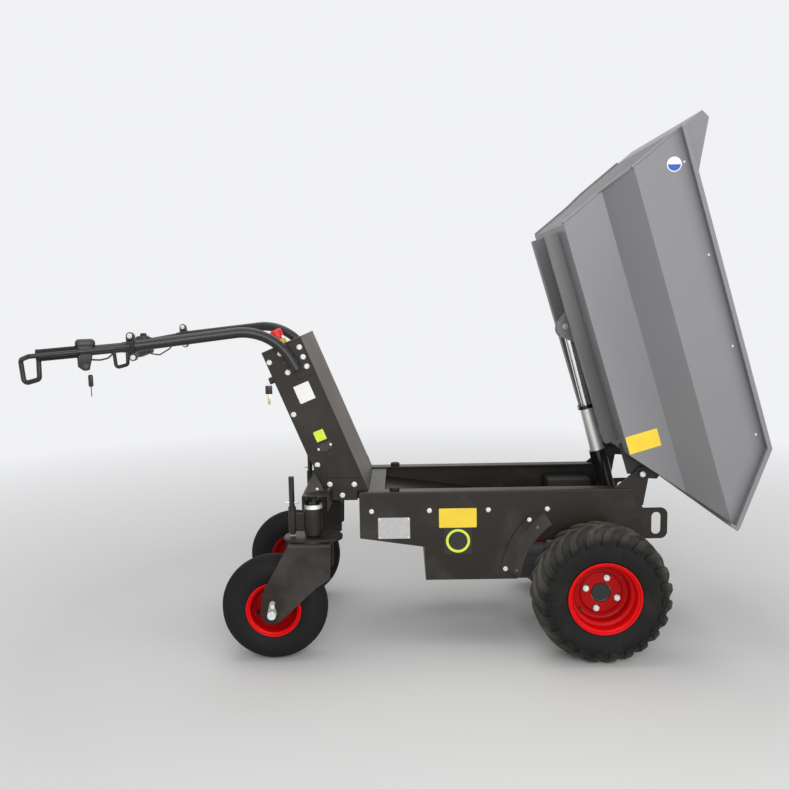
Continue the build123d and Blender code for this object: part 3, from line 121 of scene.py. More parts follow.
class Finish:
    """A node-based material with one Principled shader."""

    def __init__(self, name, **constants):
        self.material = bpy.data.materials.new(name)
        self.material.use_nodes = True
        self.tree = self.material.node_tree
        self.shader = self.tree.nodes["Principled BSDF"]
        self.place = self.node("ShaderNodeTexCoord", {}, {}, "Object")
        for socket, value in constants.items():
            self.put(socket.replace("_", " "), value)

    def node(self, kind, settings, sockets, output=0):
        """Add a node: its settings first, then its sockets' values or wires; gives one output."""
        made = self.tree.nodes.new(kind)
        for key, value in settings.items():
            setattr(made, key, value)
        for key, value in sockets.items():
            self.join(made.inputs[key], value)
        return Wire(self, made.outputs[output])

    def join(self, socket, value):
        if isinstance(value, Wire):
            self.tree.links.new(value.socket, socket)
        elif isinstance(value, (tuple, list)) and len(value) == 3 and socket.type == "RGBA":
            socket.default_value = (*value, 1.0)
        else:
            socket.default_value = value

    def put(self, socket, value):
        self.join(self.shader.inputs[socket], value)

    def noise(self, scale, detail=3.0, roughness=0.5):
        sockets = {"Vector": self.place, "Scale": scale, "Detail": detail, "Roughness": roughness}
        return self.node("ShaderNodeTexNoise", {}, sockets)

    def mix(self, factor, first, second):
        settings = {"data_type": "RGBA", "clamp_factor": True}
        return self.node("ShaderNodeMix", settings, {0: factor, 6: first, 7: second}, 2)

    def height(self):
        return self.node("ShaderNodeSeparateXYZ", {}, {"Vector": self.place}, "Z")

    def aside(self):
        """Distance to either side of the machine's middle plane."""
        y = self.node("ShaderNodeSeparateXYZ", {}, {"Vector": self.place}, "Y")
        return y.maths("ABSOLUTE", y)

    def reach(self, centre, across=(1.0, 1.0, 1.0)):
        """Distance from a centre, counting only the directions in across."""
        shift = tuple(-c * a for c, a in zip(centre, across))
        moved = self.node("ShaderNodeMapping", {}, {"Vector": self.place, "Location": shift, "Scale": across})
        return self.node("ShaderNodeVectorMath", {"operation": "LENGTH"}, {0: moved}, "Value")

    def seen(self):
        """1 for rays that show the surface to the camera, directly or in a shiny or clear piece."""
        rays = [
            self.node("ShaderNodeLightPath", {}, {}, kind)
            for kind in ("Is Camera Ray", "Is Glossy Ray", "Is Transmission Ray")
        ]
        return (rays[0] + rays[1] + rays[2]).clamped()

    def bump(self, relief, distance, strength):
        sockets = {"Height": relief, "Distance": distance, "Strength": strength}
        return self.node("ShaderNodeBump", {}, sockets, "Normal")

    def done(self, colour, roughness, relief, distance, strength):
        """Join the colour, the roughness and the relief to the shader, and give the material."""
        self.put("Base Color", colour)
        self.put("Roughness", roughness)
        self.put("Normal", self.bump(relief, distance, strength))
        return self.material


def powder_coat(name, colour, dust, roughness, peel=0.3, coat=0.0, dirt=0.35, specular=0.4, darker_bands=()):
    """Baked powder paint: fine orange peel, faint dust and uneven sheen, with darker bands towards some edges; on the
    skip's shell these bands are painted shade.
    """
    f = Finish(name, Coat_Weight=coat, Coat_Roughness=0.15, Specular_IOR_Level=specular)
    cloud = f.noise(5.0, 5.0, 0.6)
    speck = f.noise(140.0, 2.0, 0.7)
    low = 1.0 - f.height().ramp(0.1, 0.8)
    dusty = (cloud.ramp(0.5, 0.8) * (0.3 + 0.7 * low) + speck.ramp(0.64, 0.82) * 0.3) * dirt
    paint = f.mix(dusty, colour, dust)
    # each band mixes the paint towards 0.3 of its colour further along a direction: painted shade on the skip's
    # shell, a plain darkening towards the hinge end on the runners
    for direction, low, high, strength in darker_bands:
        along = f.node("ShaderNodeVectorMath", {"operation": "DOT_PRODUCT"}, {0: f.place, 1: direction}, "Value")
        paint = f.mix(along.ramp(low, high) ** 1.6 * strength, paint, tuple(c * 0.3 for c in colour))
    orange_peel = f.noise(420.0, 2.0, 0.45)
    return f.done(paint, roughness + (cloud - 0.5) * 0.15 + dusty * 0.2, orange_peel, 0.00008, peel)


def plated(name, colour, roughness, mottle):
    """Bright zinc or steel plating with soft mottling."""
    f = Finish(name, Metallic=0.35, Specular_IOR_Level=0.6)
    cloud = f.noise(90.0, 3.0, 0.6)
    spangle = f.mix(cloud.ramp(0.4, 0.75), colour, tuple(c * mottle for c in colour))
    return f.done(spangle, roughness + (cloud - 0.5) * 0.2, f.noise(900.0, 2.0), 0.00004, 0.4)


def turned(name, colour, roughness):
    """Machined metal with fine scratches and a little wear."""
    f = Finish(name, Metallic=1.0)
    scratch = f.noise(420.0, 2.0, 0.6)
    metal = f.mix(scratch.ramp(0.3, 0.8), colour, tuple(c * 0.82 for c in colour))
    return f.done(metal, roughness + (scratch - 0.5) * 0.1, scratch, 0.00003, 0.3)


def rubber(name, colour, dust, roughness, crown=None):
    """Moulded rubber: matt skin and fine grain, with dust in patches and on a tyre's crown."""
    f = Finish(name, Specular_IOR_Level=0.16)
    cloud = f.noise(9.0, 6.0, 0.65)
    fine = f.noise(260.0, 3.0, 0.6)
    dusty = cloud.ramp(0.5, 0.8) * 0.2 + fine.ramp(0.6, 0.8) * 0.1
    if crown:
        centre, low, high = crown
        dusty = dusty + f.reach(centre, (1.0, 0.0, 1.0)).ramp(low, high) * (0.35 + cloud.ramp(0.35, 0.6) * 0.65)
    return f.done(f.mix(dusty, colour, dust), roughness + (cloud - 0.5) * 0.2, fine, 0.00012, 0.6)


def moulded(name, colour, roughness, grain=0.00008):
    """Moulded plastic with a fine spark-eroded grain."""
    f = Finish(name)
    fine = f.noise(700.0, 2.0, 0.5)
    cloud = f.noise(14.0, 3.0, 0.5)
    pale = tuple(min(1.0, c * 1.6 + 0.01) for c in colour)
    skin = f.mix(cloud.ramp(0.4, 0.8) * 0.25, colour, pale)
    return f.done(skin, roughness + (cloud - 0.5) * 0.12, fine, grain, 0.5)


def gloss_paint(name, colour, deep, roughness, well):
    """Gloss rim paint under a thin clear coat, with random mottling and painted shade that darkens it in the well,
    nearer the middle than the first of two distances.
    """
    f = Finish(name, Coat_Weight=0.03, Coat_Roughness=0.12, Specular_IOR_Level=0.14)
    cloud = f.noise(16.0, 4.0, 0.6)
    speck = f.noise(230.0, 3.0, 0.7)
    aside = f.aside()
    # random mottling, plus painted shade in the rim's well
    mottle_and_well_shade = cloud.ramp(0.5, 0.85) * 0.2 + speck.ramp(0.66, 0.8) * 0.15 + (1.0 - aside.ramp(*well)) * 0.75
    sheen = roughness + (cloud - 0.5) * 0.15 + mottle_and_well_shade * 0.15
    return f.done(f.mix(mottle_and_well_shade, colour, deep), sheen, f.noise(420.0, 2.0, 0.4), 0.0001, 0.3)


# ---------------------------------------------------------------- meshes
finishes = {}


def pattern_of(name, bm):
    """Keep a bmesh as a mesh."""
    mesh = bpy.data.meshes.new(name)
    bm.to_mesh(mesh)
    bm.free()
    return mesh


def shade(mesh, sharp_angle=32.0):
    """Smooth shading that breaks at edges sharper than an angle."""
    mesh.polygons.foreach_set("use_smooth", [True] * len(mesh.polygons))
    mesh.set_sharp_from_angle(angle=math.radians(sharp_angle))


def piece_of(name, bm, body, slot, *looks, replaced=(), sharp_angle=32.0):
    """Turn a bmesh into a piece with named finishes that rides on a CAD body."""
    mesh = pattern_of(name, bm)
    for look in looks:
        mesh.materials.append(finishes[look])
    shade(mesh, sharp_angle)
    piece = bpy.data.objects.new(name, mesh)
    bpy.context.scene.collection.objects.link(piece)
    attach(piece, body)
    if replaced:
        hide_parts(*replaced)
    return piece


def soften(piece, width, segments=2, angle=34.0):
    """Round the sharp edges of a piece with a bevel."""
    soft = piece.modifiers.new("soft_edges", "BEVEL")
    soft.width = width
    soft.segments = segments
    soft.limit_method = "ANGLE"
    soft.angle_limit = math.radians(angle)
    soft.harden_normals = True
    closed = piece.modifiers.new("closed_corners", "WELD")
    closed.merge_threshold = 0.004 * MM


def folds_of(bm, node, along):
    """The outermost edges of a node's upper corner that run along an axis."""
    low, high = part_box(node)
    across = 1 if along == "x" else 0
    near = 0.1 * MM
    level = [
        e for e in bm.edges
        if all(abs(e.verts[0].co[axis] - e.verts[1].co[axis]) < near for axis in (2, across))
    ]
    ends = (low[across], high[across])
    outer = [e for e in level if min(abs(e.verts[0].co[across] - end) for end in ends) < near]
    top = max(e.verts[0].co.z for e in outer)
    return [e for e in outer if abs(e.verts[0].co.z - top) < near]


def dressed(node, slot, look, edge, fold):
    """A merged copy of a CAD node with softened edges, standing for the node."""
    source = frame["nodes"][node]
    bm = bmesh.new()
    bm.from_mesh(source.data)
    bmesh.ops.remove_doubles(bm, verts=bm.verts, dist=0.01 * MM)
    bmesh.ops.dissolve_limit(
        bm, angle_limit=math.radians(0.4), verts=bm.verts, edges=bm.edges, delimit={"NORMAL"}
    )
    if fold:
        along, radius = fold
        bmesh.ops.bevel(
            bm, geom=folds_of(bm, node, along), offset=radius * MM, segments=5, profile=0.5,
            affect="EDGES", material=-1, clamp_overlap=True,
        )
    piece = piece_of(f"{node}_dressed", bm, source["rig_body"], slot, look, replaced=[node])
    soften(piece, edge)


def merged(bm):
    """Close seams and poles and turn every face outwards."""
    bmesh.ops.remove_doubles(bm, verts=bm.verts, dist=0.01 * MM)
    bmesh.ops.recalc_face_normals(bm, faces=bm.faces)


def turned_ring(bm, profile, centre, axis, steps=96):
    """Spin a profile of (along the axis, radius) pairs about an axis through a centre."""
    along = Vector(axis).normalized()
    across = along.orthogonal().normalized()
    corners = [bm.verts.new(centre + along * a * MM + across * r * MM) for a, r in profile]
    rim = [bm.edges.new(pair) for pair in zip(corners, corners[1:] + corners[:1])]
    bmesh.ops.spin(
        bm, geom=corners + rim, cent=centre, axis=along, angle=math.tau, steps=steps, use_merge=True
    )


def rings_piece(name, rings, body, slot, look, **details):
    """One piece of turned rings, each given as a profile, a centre, an axis and a number of steps."""
    bm = bmesh.new()
    for ring in rings:
        turned_ring(bm, *ring)
    merged(bm)
    return piece_of(name, bm, body, slot, look, **details)


def rods_piece(name, rods, steps, body, slot, look):
    """One piece of straight round rods, each given as its two ends and its radius in millimetres."""
    bm = bmesh.new()
    for start, end, radius in rods:
        turn = (end - start).to_track_quat("Z", "Y").to_matrix().to_4x4()
        bmesh.ops.create_cone(
            bm, cap_ends=True, segments=steps, radius1=radius * MM, radius2=radius * MM,
            depth=(end - start).length, matrix=Matrix.Translation((start + end) / 2) @ turn,
        )
    merged(bm)
    piece_of(name, bm, body, slot, look)


def hexagon(bm, place, radius, low, high, inset):
    """An upright hexagon between two heights over a place, with a raised middle, in millimetres."""
    verts = bmesh.ops.create_cone(
        bm, cap_ends=True, segments=6, radius1=radius * MM, radius2=radius * MM, depth=(high - low) * MM,
        matrix=Matrix.Translation(place + Vector((0, 0, (low + high) / 2)) * MM),
    )["verts"]
    top = [f for f in bm.faces if all(v in verts for v in f.verts) and f.normal.z > 0.9]
    thickness, depth = inset
    bmesh.ops.inset_region(bm, faces=top, thickness=thickness * MM, depth=depth * MM)


def prism(bm, outline, away):
    """A flat outline of points given a thickness along a vector."""
    face = bmesh.ops.contextual_create(bm, geom=[bm.verts.new(c) for c in outline])["faces"]
    raised = bmesh.ops.extrude_face_region(bm, geom=face, use_keep_orig=True)["geom"]
    bmesh.ops.translate(bm, vec=away, verts=[v for v in raised if isinstance(v, bmesh.types.BMVert)])
    bmesh.ops.recalc_face_normals(bm, faces=bm.faces)


def arc_band(bm, section, centre, side, low, high, steps=24):
    """Spin a closed section of (outwards, radius) pairs from one angle to another round a wheel's axle."""
    start = Vector((math.cos(low), 0, math.sin(low)))
    corners = [bm.verts.new(centre + start * r * MM + Vector((0, side * y * MM, 0))) for y, r in section]
    rim = [bm.edges.new(pair) for pair in zip(corners, corners[1:] + corners[:1])]
    bmesh.ops.spin(bm, geom=corners + rim, cent=centre, axis=(0, -1, 0), angle=high - low, steps=steps)
    bmesh.ops.holes_fill(bm, edges=[e for e in bm.edges if e.is_boundary])
    bmesh.ops.recalc_face_normals(bm, faces=bm.faces)


def block(bm, size, matrix, bevel, segments=2):
    """A rounded box in a place."""
    made = bmesh.ops.create_cube(bm, size=1.0)["verts"]
    bmesh.ops.scale(bm, vec=Vector(size), verts=made)
    edges = list({e for v in made for e in v.link_edges})
    result = bmesh.ops.bevel(
        bm, geom=edges, offset=bevel, segments=segments, profile=0.5, affect="EDGES", material=-1
    )
    made = list({v for f in result["faces"] for v in f.verts} | {v for v in made if v.is_valid})
    bmesh.ops.transform(bm, matrix=matrix, verts=made)


def flat_plate(size, rounding, segments, matrix):
    """A bmesh of a plate with rounded upright corners, its size in millimetres."""
    bm = bmesh.new()
    made = bmesh.ops.create_cube(bm, size=1.0)["verts"]
    bmesh.ops.scale(bm, vec=Vector(size) * MM, verts=made)
    upright = [e for e in bm.edges if abs(e.verts[0].co.z - e.verts[1].co.z) > 0.1 * MM]
    bmesh.ops.bevel(
        bm, geom=upright, offset=rounding * MM, segments=segments, profile=0.5, affect="EDGES", material=-1
    )
    bmesh.ops.transform(bm, matrix=matrix, verts=bm.verts)
    return bm


def facing(place, normal, up=(0, 0, 1)):
    """A matrix with local z along a normal and local y near up."""
    z = Vector(normal).normalized()
    x = Vector(up).cross(z).normalized()
    y = z.cross(x)
    turn = Matrix((x, y, z)).transposed().to_4x4()
    return Matrix.Translation(place) @ turn


# ---------------------------------------------------------------- settings
def colour_setting(name, description, value):
    return bpy.props.FloatVectorProperty(
        name=name, description=description, subtype="COLOR", size=3, min=0.0, max=1.0, default=value
    )


class DumperColours(bpy.types.PropertyGroup):
    """Paints and other colours a user would change."""

    frame_paint: colour_setting("Frame", "Powder coat of the chassis and tower", (0.0145, 0.0105, 0.0068))
    cover_paint: colour_setting("Tower cover", "Powder coat of the tower's front cover", (0.055, 0.041, 0.026))
    skip_paint: colour_setting("Skip", "Powder coat of the tipping skip", (0.22, 0.22, 0.2288))
    rim_paint: colour_setting("Rims", "Gloss paint of the wheel rims", (0.72, 0.002, 0.004))
    floor: colour_setting("Floor", "Plain studio floor", (0.71, 0.71, 0.7))
    backdrop: colour_setting("Backdrop", "What the floor fades into", (0.88, 0.885, 0.9))


class DumperSizes(bpy.types.PropertyGroup):
    """Sizes of the details that the frame leaves to the looks."""

    edge: bpy.props.FloatProperty(
        name="Edge softness", description="Rounding of cut sheet edges", unit="LENGTH", default=0.0008, min=0.0
    )


# ---------------------------------------------------------------- stage
CAMERA_PLACE = (0.01109, -2.7745, 1.13445)
CAMERA_TURN = (0.1235, -0.0087, 0.0179)
CAMERA_LENS = 38.13
LAMPS = (
    # name, place, aim, size, power
    ("key", (0.3, -3.7, 1.9), (0.2, 0.0, 0.6), 2.4, 80.0),
    ("fill", (3.0, -2.6, 1.6), (0.3, 0.0, 0.5), 2.2, 26.0),
    ("top", (-0.3, 0.2, 4.4), (-0.2, 0.0, 0.5), 3.4, 62.0),
    ("back", (-0.6, 3.8, 2.6), (0.1, 0.0, 0.7), 2.6, 16.0),
)


class DUMPER_OT_stage(bpy.types.Operator):
    """Floor, soft light and camera"""

    bl_idname = "dumper.stage"
    bl_label = "Stage"

    def execute(self, context):
        scene = context.scene
        scene.view_settings.view_transform = "Standard"
        bm = bmesh.new()
        bmesh.ops.create_circle(bm, cap_ends=True, segments=96, radius=40.0)
        mesh = pattern_of("floor", bm)
        floor = bpy.data.objects.new("floor", mesh)
        scene.collection.objects.link(floor)
        f = Finish("studio_floor", Roughness=0.85, Specular_IOR_Level=0.1)
        colour = tuple(scene.dumper_colours.floor)
        backdrop = tuple(scene.dumper_colours.backdrop)
        f.put("Base Color", f.mix(f.noise(3.0, 4.0) * 0.3, colour, tuple(c * 0.97 for c in colour)))
        fade = f.reach((0.0, 0.0, 0.0)).ramp(1.2, 4.2) ** 0.8 * f.seen()
        lit = Wire(f, f.shader.outputs[0])
        glow = f.node("ShaderNodeEmission", {}, {"Color": backdrop, "Strength": 1.0})
        surface = f.node("ShaderNodeMixShader", {}, {0: fade, 1: lit, 2: glow})
        f.join(f.tree.nodes["Material Output"].inputs["Surface"], surface)
        mesh.materials.append(f.material)

        world = bpy.data.worlds.new("studio")
        world.use_nodes = True
        scene.world = world
        nodes, links = world.node_tree.nodes, world.node_tree.links
        background = nodes["Background"]
        background.inputs["Color"].default_value = (*backdrop, 1.0)
        path = nodes.new("ShaderNodeLightPath")
        seen = path.outputs["Is Camera Ray"]
        for kind in ("Is Glossy Ray", "Is Transmission Ray"):
            either = nodes.new("ShaderNodeMath")
            either.operation = "MAXIMUM"
            links.new(seen, either.inputs[0])
            links.new(path.outputs[kind], either.inputs[1])
            seen = either.outputs[0]
        strength = nodes.new("ShaderNodeMapRange")
        strength.inputs["To Min"].default_value = 0.44
        strength.inputs["To Max"].default_value = 1.0
        links.new(seen, strength.inputs["Value"])
        links.new(strength.outputs[0], background.inputs["Strength"])

        for name, place, aim, size, power in LAMPS:
            light = bpy.data.lights.new(name, "AREA")
            light.size = size
            light.energy = power
            lamp = bpy.data.objects.new(name, light)
            lamp.location = place
            lamp.rotation_euler = (Vector(aim) - Vector(place)).to_track_quat("-Z", "Y").to_euler()
            scene.collection.objects.link(lamp)

        data = bpy.data.cameras.new("camera")
        data.sensor_width = 36.0
        data.lens = CAMERA_LENS
        camera = bpy.data.objects.new("camera", data)
        pitch, yaw, roll = CAMERA_TURN
        turn = (
            Matrix.Rotation(-yaw, 4, "Z")
            @ Matrix.Rotation(math.pi / 2 - pitch, 4, "X")
            @ Matrix.Rotation(-roll, 4, "Z")
        )
        camera.matrix_world = Matrix.Translation(CAMERA_PLACE) @ turn
        scene.collection.objects.link(camera)
        scene.camera = camera
        return {"FINISHED"}


class DUMPER_OT_finishes(bpy.types.Operator):
    """The materials every step draws on"""

    bl_idname = "dumper.finishes"
    bl_label = "Finishes"

    def execute(self, context):
        colours = context.scene.dumper_colours
        dust = (0.16, 0.15, 0.14)
        frame_colour = tuple(colours.frame_paint)
        cover_colour = tuple(colours.cover_paint)
        skip_colour = tuple(colours.skip_paint)
        rim_colour = tuple(colours.rim_paint)
        runner_colour = tuple(c * 0.82 for c in skip_colour)
        # a darker copy of the skip paint, for painted shade on the back wall
        shade_colour = tuple(c * 0.42 for c in skip_colour)
        # painted shade on the skip's shell: a darker band below the rim and another behind the lip
        shade_below_rim = (SKIP_UP, *along_skip(0, 318, 374), 0.75)
        shade_behind_lip = (LIP_OUT, *along_lip(-58, -4), 0.75)
        # the runners get darker towards the hinge end
        below_hinge = (SKIP_ALONG, *(on_skip(along, 0).dot(SKIP_ALONG) for along in (60, 420)), 0.55)
        finishes.update(
            frame_paint=powder_coat("frame_powder_coat", frame_colour, dust, 0.46, specular=0.32),
            cover_paint=powder_coat("cover_powder_coat", cover_colour, dust, 0.46, specular=0.22),
            # a lighter copy of the frame paint: painted light on the sloped guard lips and beam gussets, which catch
            # more light
            guard_paint=powder_coat("frame_powder_coat_lit", (0.026, 0.021, 0.016), dust, 0.42, specular=0.45),
            skip_paint=powder_coat("skip_powder_coat", skip_colour, (0.3, 0.3, 0.3), 0.42, 0.2),
            shell_paint=powder_coat(
                "shell_powder_coat_shaded", skip_colour, (0.3, 0.3, 0.3), 0.42, 0.2, darker_bands=(shade_below_rim, shade_behind_lip),
            ),
            runner_paint=powder_coat(
                "runner_powder_coat", runner_colour, (0.2, 0.2, 0.2), 0.45, 0.2, darker_bands=(below_hinge,),
            ),
            skip_shade=powder_coat("skip_back_painted_shade", shade_colour, (0.2, 0.2, 0.2), 0.5, 0.2),
            hinge_paint=powder_coat("hinge_powder_coat", (0.019, 0.0185, 0.018), dust, 0.45, specular=0.35),
            # the rims' darker red inside the well is painted shade
            drive_rim=gloss_paint("drive_rim_gloss", rim_colour, (0.26, 0.001, 0.002), 0.4, (0.322, 0.374)),
            caster_rim=gloss_paint("caster_rim_gloss", rim_colour, (0.2, 0.001, 0.002), 0.4, (0.268, 0.304)),
            tyre=rubber("caster_rubber", (0.0105, 0.0105, 0.0115), (0.05, 0.048, 0.045), 0.7),
            drive_tyre=rubber(
                "drive_rubber", (0.0115, 0.011, 0.0105), (0.098, 0.092, 0.076), 0.72,
                crown=(tuple(corner("drive_axle")), 0.178, 0.209),
            ),
            rubber=rubber("grip_rubber", (0.015, 0.015, 0.016), (0.05, 0.05, 0.05), 0.6),
            zinc=plated("zinc_plate", (0.8, 0.8, 0.77), 0.5, 0.8),
            black_steel=powder_coat(
                "handlebar_black", (0.014, 0.0135, 0.013), (0.06, 0.06, 0.06), 0.34, dirt=0.2, specular=0.4,
            ),
            gloss_black=powder_coat("cylinder_black", (0.008, 0.008, 0.008), (0.05, 0.05, 0.05), 0.16, 0.15, 0.4),
            sleeve_metal=turned("sleeve_silver", (0.86, 0.86, 0.83), 0.55),
            chrome=turned("rod_chrome", (0.88, 0.89, 0.9), 0.26),
            motor_case=powder_coat("motor_casting", (0.05, 0.05, 0.055), dust, 0.5),
            battery_case=moulded("battery_plastic", (0.03, 0.03, 0.03), 0.5),
            black_plastic=moulded("control_plastic", (0.02, 0.02, 0.02), 0.42),
            signal_red=moulded("stop_red", (0.8, 0.012, 0.01), 0.4),
            signal_yellow=moulded("stop_yellow", (0.8, 0.55, 0.02), 0.4),
            dull_zinc=plated("dull_zinc", (0.4, 0.4, 0.38), 0.5, 0.7),
            dull_steel=plated("dull_steel", (0.16, 0.15, 0.14), 0.5, 0.8),
            key_brass=turned("key_blade", (0.62, 0.52, 0.34), 0.35),
            sticker_blue=moulded("sticker_film_blue", (0.01, 0.08, 0.45), 0.3, 0.00001),
            cap_black=moulded("cap_plastic", (0.012, 0.012, 0.013), 0.3),
            plate=plated("plate_aluminium", (0.5, 0.5, 0.5), 0.45, 0.85),
            sticker_yellow=moulded("sticker_film_yellow", (0.86, 0.6, 0.03), 0.35, 0.00001),
            sticker_black=moulded("sticker_film_black", (0.012, 0.012, 0.012), 0.35, 0.00001),
            sticker_lime=moulded("sticker_film_lime", (0.62, 0.8, 0.05), 0.35, 0.00001),
            sticker_white=moulded("sticker_film_white", (0.82, 0.82, 0.81), 0.35, 0.00001),
        )
        return {"FINISHED"}


REMADE = ("drive_tyre", "caster_tyre", "drive_rim", "caster_rim", "grip_sleeves", "cylinder_gland")
NODE_FINISH = {
    "cylinder_barrel": "gloss_black",
    "hinge_pins": "hinge_paint",
    "spindle_nut_left": "cap_black",
    "spindle_nut_right": "cap_black",
    # the skip's shell takes the paint that carries painted shade
    "skip_shell": "shell_paint",
    "skip_runners": "runner_paint",
    "caster_axle_left": "dull_zinc",
    "caster_axle_right": "dull_zinc",
}
NODE_EDGE = {"control_units": 3.0, "wheel_guards": 1.4, "tower_feet": 1.4, "side_plates": 1.2}
# bends of folded sheet: which way the edges run, and the bend's radius in millimetres
FOLDS = {
    "side_plates": ("x", 4.0),
    "caster_fork_left": ("x", 8.0),
    "caster_fork_right": ("x", 8.0),
    "caster_beam": ("y", 4.0),
}


class DUMPER_OT_plates(bpy.types.Operator):
    """Paint and soften the sheet, bar and turned nodes of the frame"""

    bl_idname = "dumper.plates"
    bl_label = "Plates"

    def execute(self, context):
        edge = context.scene.dumper_sizes.edge
        for part in frame["record"]["subparts"]:
            node, slot = part["node"], part["material_slot"]
            if not node.startswith(REMADE):
                softness = NODE_EDGE[node] * MM if node in NODE_EDGE else edge
                dressed(node, slot, NODE_FINISH.get(node, slot), softness, FOLDS.get(node))
        return {"FINISHED"}


# ---------------------------------------------------------------- places on the frame
def corner(node, x=0, y=0, z=0):
    """A point of a node's box: -1, 0 or 1 for its low side, middle or high side on each axis."""
    low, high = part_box(node)
    return Vector(lo + (hi - lo) * (pick + 1) / 2 for lo, hi, pick in zip(low, high, (x, y, z)))


TOWER_LEAN = math.radians(22.3)
tower_down = Vector((math.sin(TOWER_LEAN), 0, -math.cos(TOWER_LEAN)))
tower_back = Vector((-math.cos(TOWER_LEAN), 0, -math.sin(TOWER_LEAN)))
deck_z = corner("side_plates", z=1).z
tower_edge = corner("tower_shell", x=1, z=1)
tower_edge.x -= (tower_edge.z - deck_z) * math.tan(TOWER_LEAN)
tower_half = corner("tower_shell", y=1).y


def on_tower(down, back, side, proud=0.0):
    """A point on a side of the tower, measured in millimetres from its top front edge."""
    place = Vector((tower_edge.x, 0, tower_edge.z)) + (tower_down * down + tower_back * back) * MM
    place.y = side * (tower_half + proud * MM)
    return place


def gauge(forward, left, up):
    """A point in millimetres: ahead of the drive axle, left of the middle and above the floor."""
    return Vector((corner("drive_axle").x + forward * MM, left * MM, up * MM))


BAR_LEAN = math.radians(6.1)
GRIP_SPLAY = math.radians(19.4)
GRIP_BACK, GRIP_OUT = 620, 351
bar_up = Vector((-math.sin(BAR_LEAN), 0, math.cos(BAR_LEAN)))


def on_grip(forward, out, up, side):
    """A point in millimetres from a control unit's place on its grip, in the grip's own directions."""
    middle = Vector((tower_edge.x - GRIP_BACK * MM, side * GRIP_OUT * MM, tower_edge.z))
    along = Vector((math.cos(GRIP_SPLAY), -side * math.sin(GRIP_SPLAY), 0))
    outward = Vector((math.sin(GRIP_SPLAY), side * math.cos(GRIP_SPLAY), 0))
    return middle + (along * forward + outward * out + Vector((0, 0, up))) * MM, outward


# the skip's own directions while it stands tipped: along its floor, up from its floor and out over its lip
TIPPED = math.radians(73.5)
SKIP_ALONG = Vector((math.cos(TIPPED), 0, -math.sin(TIPPED)))
SKIP_UP = Vector((math.sin(TIPPED), 0, math.cos(TIPPED)))
LIP_OUT = SKIP_ALONG * 0.596 + SKIP_UP * 0.803
LIP_LINE = (803, 378)
# the back wall's own directions: up along it and out of it
WALL_UP = SKIP_ALONG * -0.3856 + SKIP_UP * 0.9226
WALL_OUT = Vector((-WALL_UP.z, 0, WALL_UP.x))
skip_heel = gauge(-112.5, 0, 1320.8)


def on_skip(along, up):
    """A point on the skip's middle plane, measured in millimetres from the back edge of its floor."""
    return skip_heel + (SKIP_ALONG * along + SKIP_UP * up) * MM


def along_skip(along, low, high):
    """Two heights over the skip's floor as distances along SKIP_UP."""
    return [on_skip(along, up).dot(SKIP_UP) for up in (low, high)]


def along_lip(low, high):
    """Two distances from the line of the lip as distances along LIP_OUT."""
    lip = on_skip(*LIP_LINE).dot(LIP_OUT)
    return [lip + low * MM, lip + high * MM]


def on_wall(up, left, proud=0.0):
    """A point on the outside of the skip's back wall, in millimetres from the middle of its floor edge."""
    return skip_heel + (WALL_UP * up + WALL_OUT * proud) * MM + Vector((0, left * MM, 0))


def on_plate(forward, up, side, proud=0.0):
    """A point on a side plate, measured in millimetres from its rear top corner."""
    low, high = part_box("side_plates")
    return Vector((low.x + forward * MM, side * (high.y + proud * MM), high.z + up * MM))


# ---------------------------------------------------------------- fasteners
BOLT_PROFILE = (
    # along the axis, radius
    (0.0, 0.0), (0.0, 10.0), (1.2, 10.0), (1.6, 9.5), (1.6, 8.8), (2.6, 8.7), (4.2, 8.0),
    (4.9, 6.8), (5.0, 4.0), (4.8, 3.6), (2.0, 3.3), (1.8, 0.0),
)


def bolt_mesh():
    """A flanged button-head bolt with a hexagon socket, standing on the origin along z."""
    bm = bmesh.new()
    turned_ring(bm, BOLT_PROFILE, Vector(), (0, 0, 1), 24)
    merged(bm)
    for v in bm.verts:
        r = math.hypot(v.co.x, v.co.y)
        if 0.1 * MM < r < 3.7 * MM and v.co.z > 1.5 * MM:
            sector = math.atan2(v.co.y, v.co.x) % (math.pi / 3) - math.pi / 6
            scale = 0.92 / math.cos(sector)
            v.co.x *= scale
            v.co.y *= scale
    return pattern_of("bolt_pattern", bm)


def scatter(bm, pattern, matrices):
    """Add a copy of a pattern mesh at each matrix."""
    for matrix in matrices:
        before = len(bm.verts)
        bm.from_mesh(pattern)
        bm.verts.ensure_lookup_table()
        bmesh.ops.transform(bm, matrix=matrix, verts=bm.verts[before:])


def bolt_spot(place, normal, scale=1.0):
    """Where a bolt sits, standing along a normal."""
    return facing(place, normal) @ Matrix.Scale(scale, 4)


def bolts_piece(name, spots, body="chassis", slot="zinc", look="zinc"):
    """Bolts in a list of spots as one piece."""
    pattern = bolt_mesh()
    bm = bmesh.new()
    scatter(bm, pattern, spots)
    bpy.data.meshes.remove(pattern)
    piece_of(name, bm, body, slot, look)


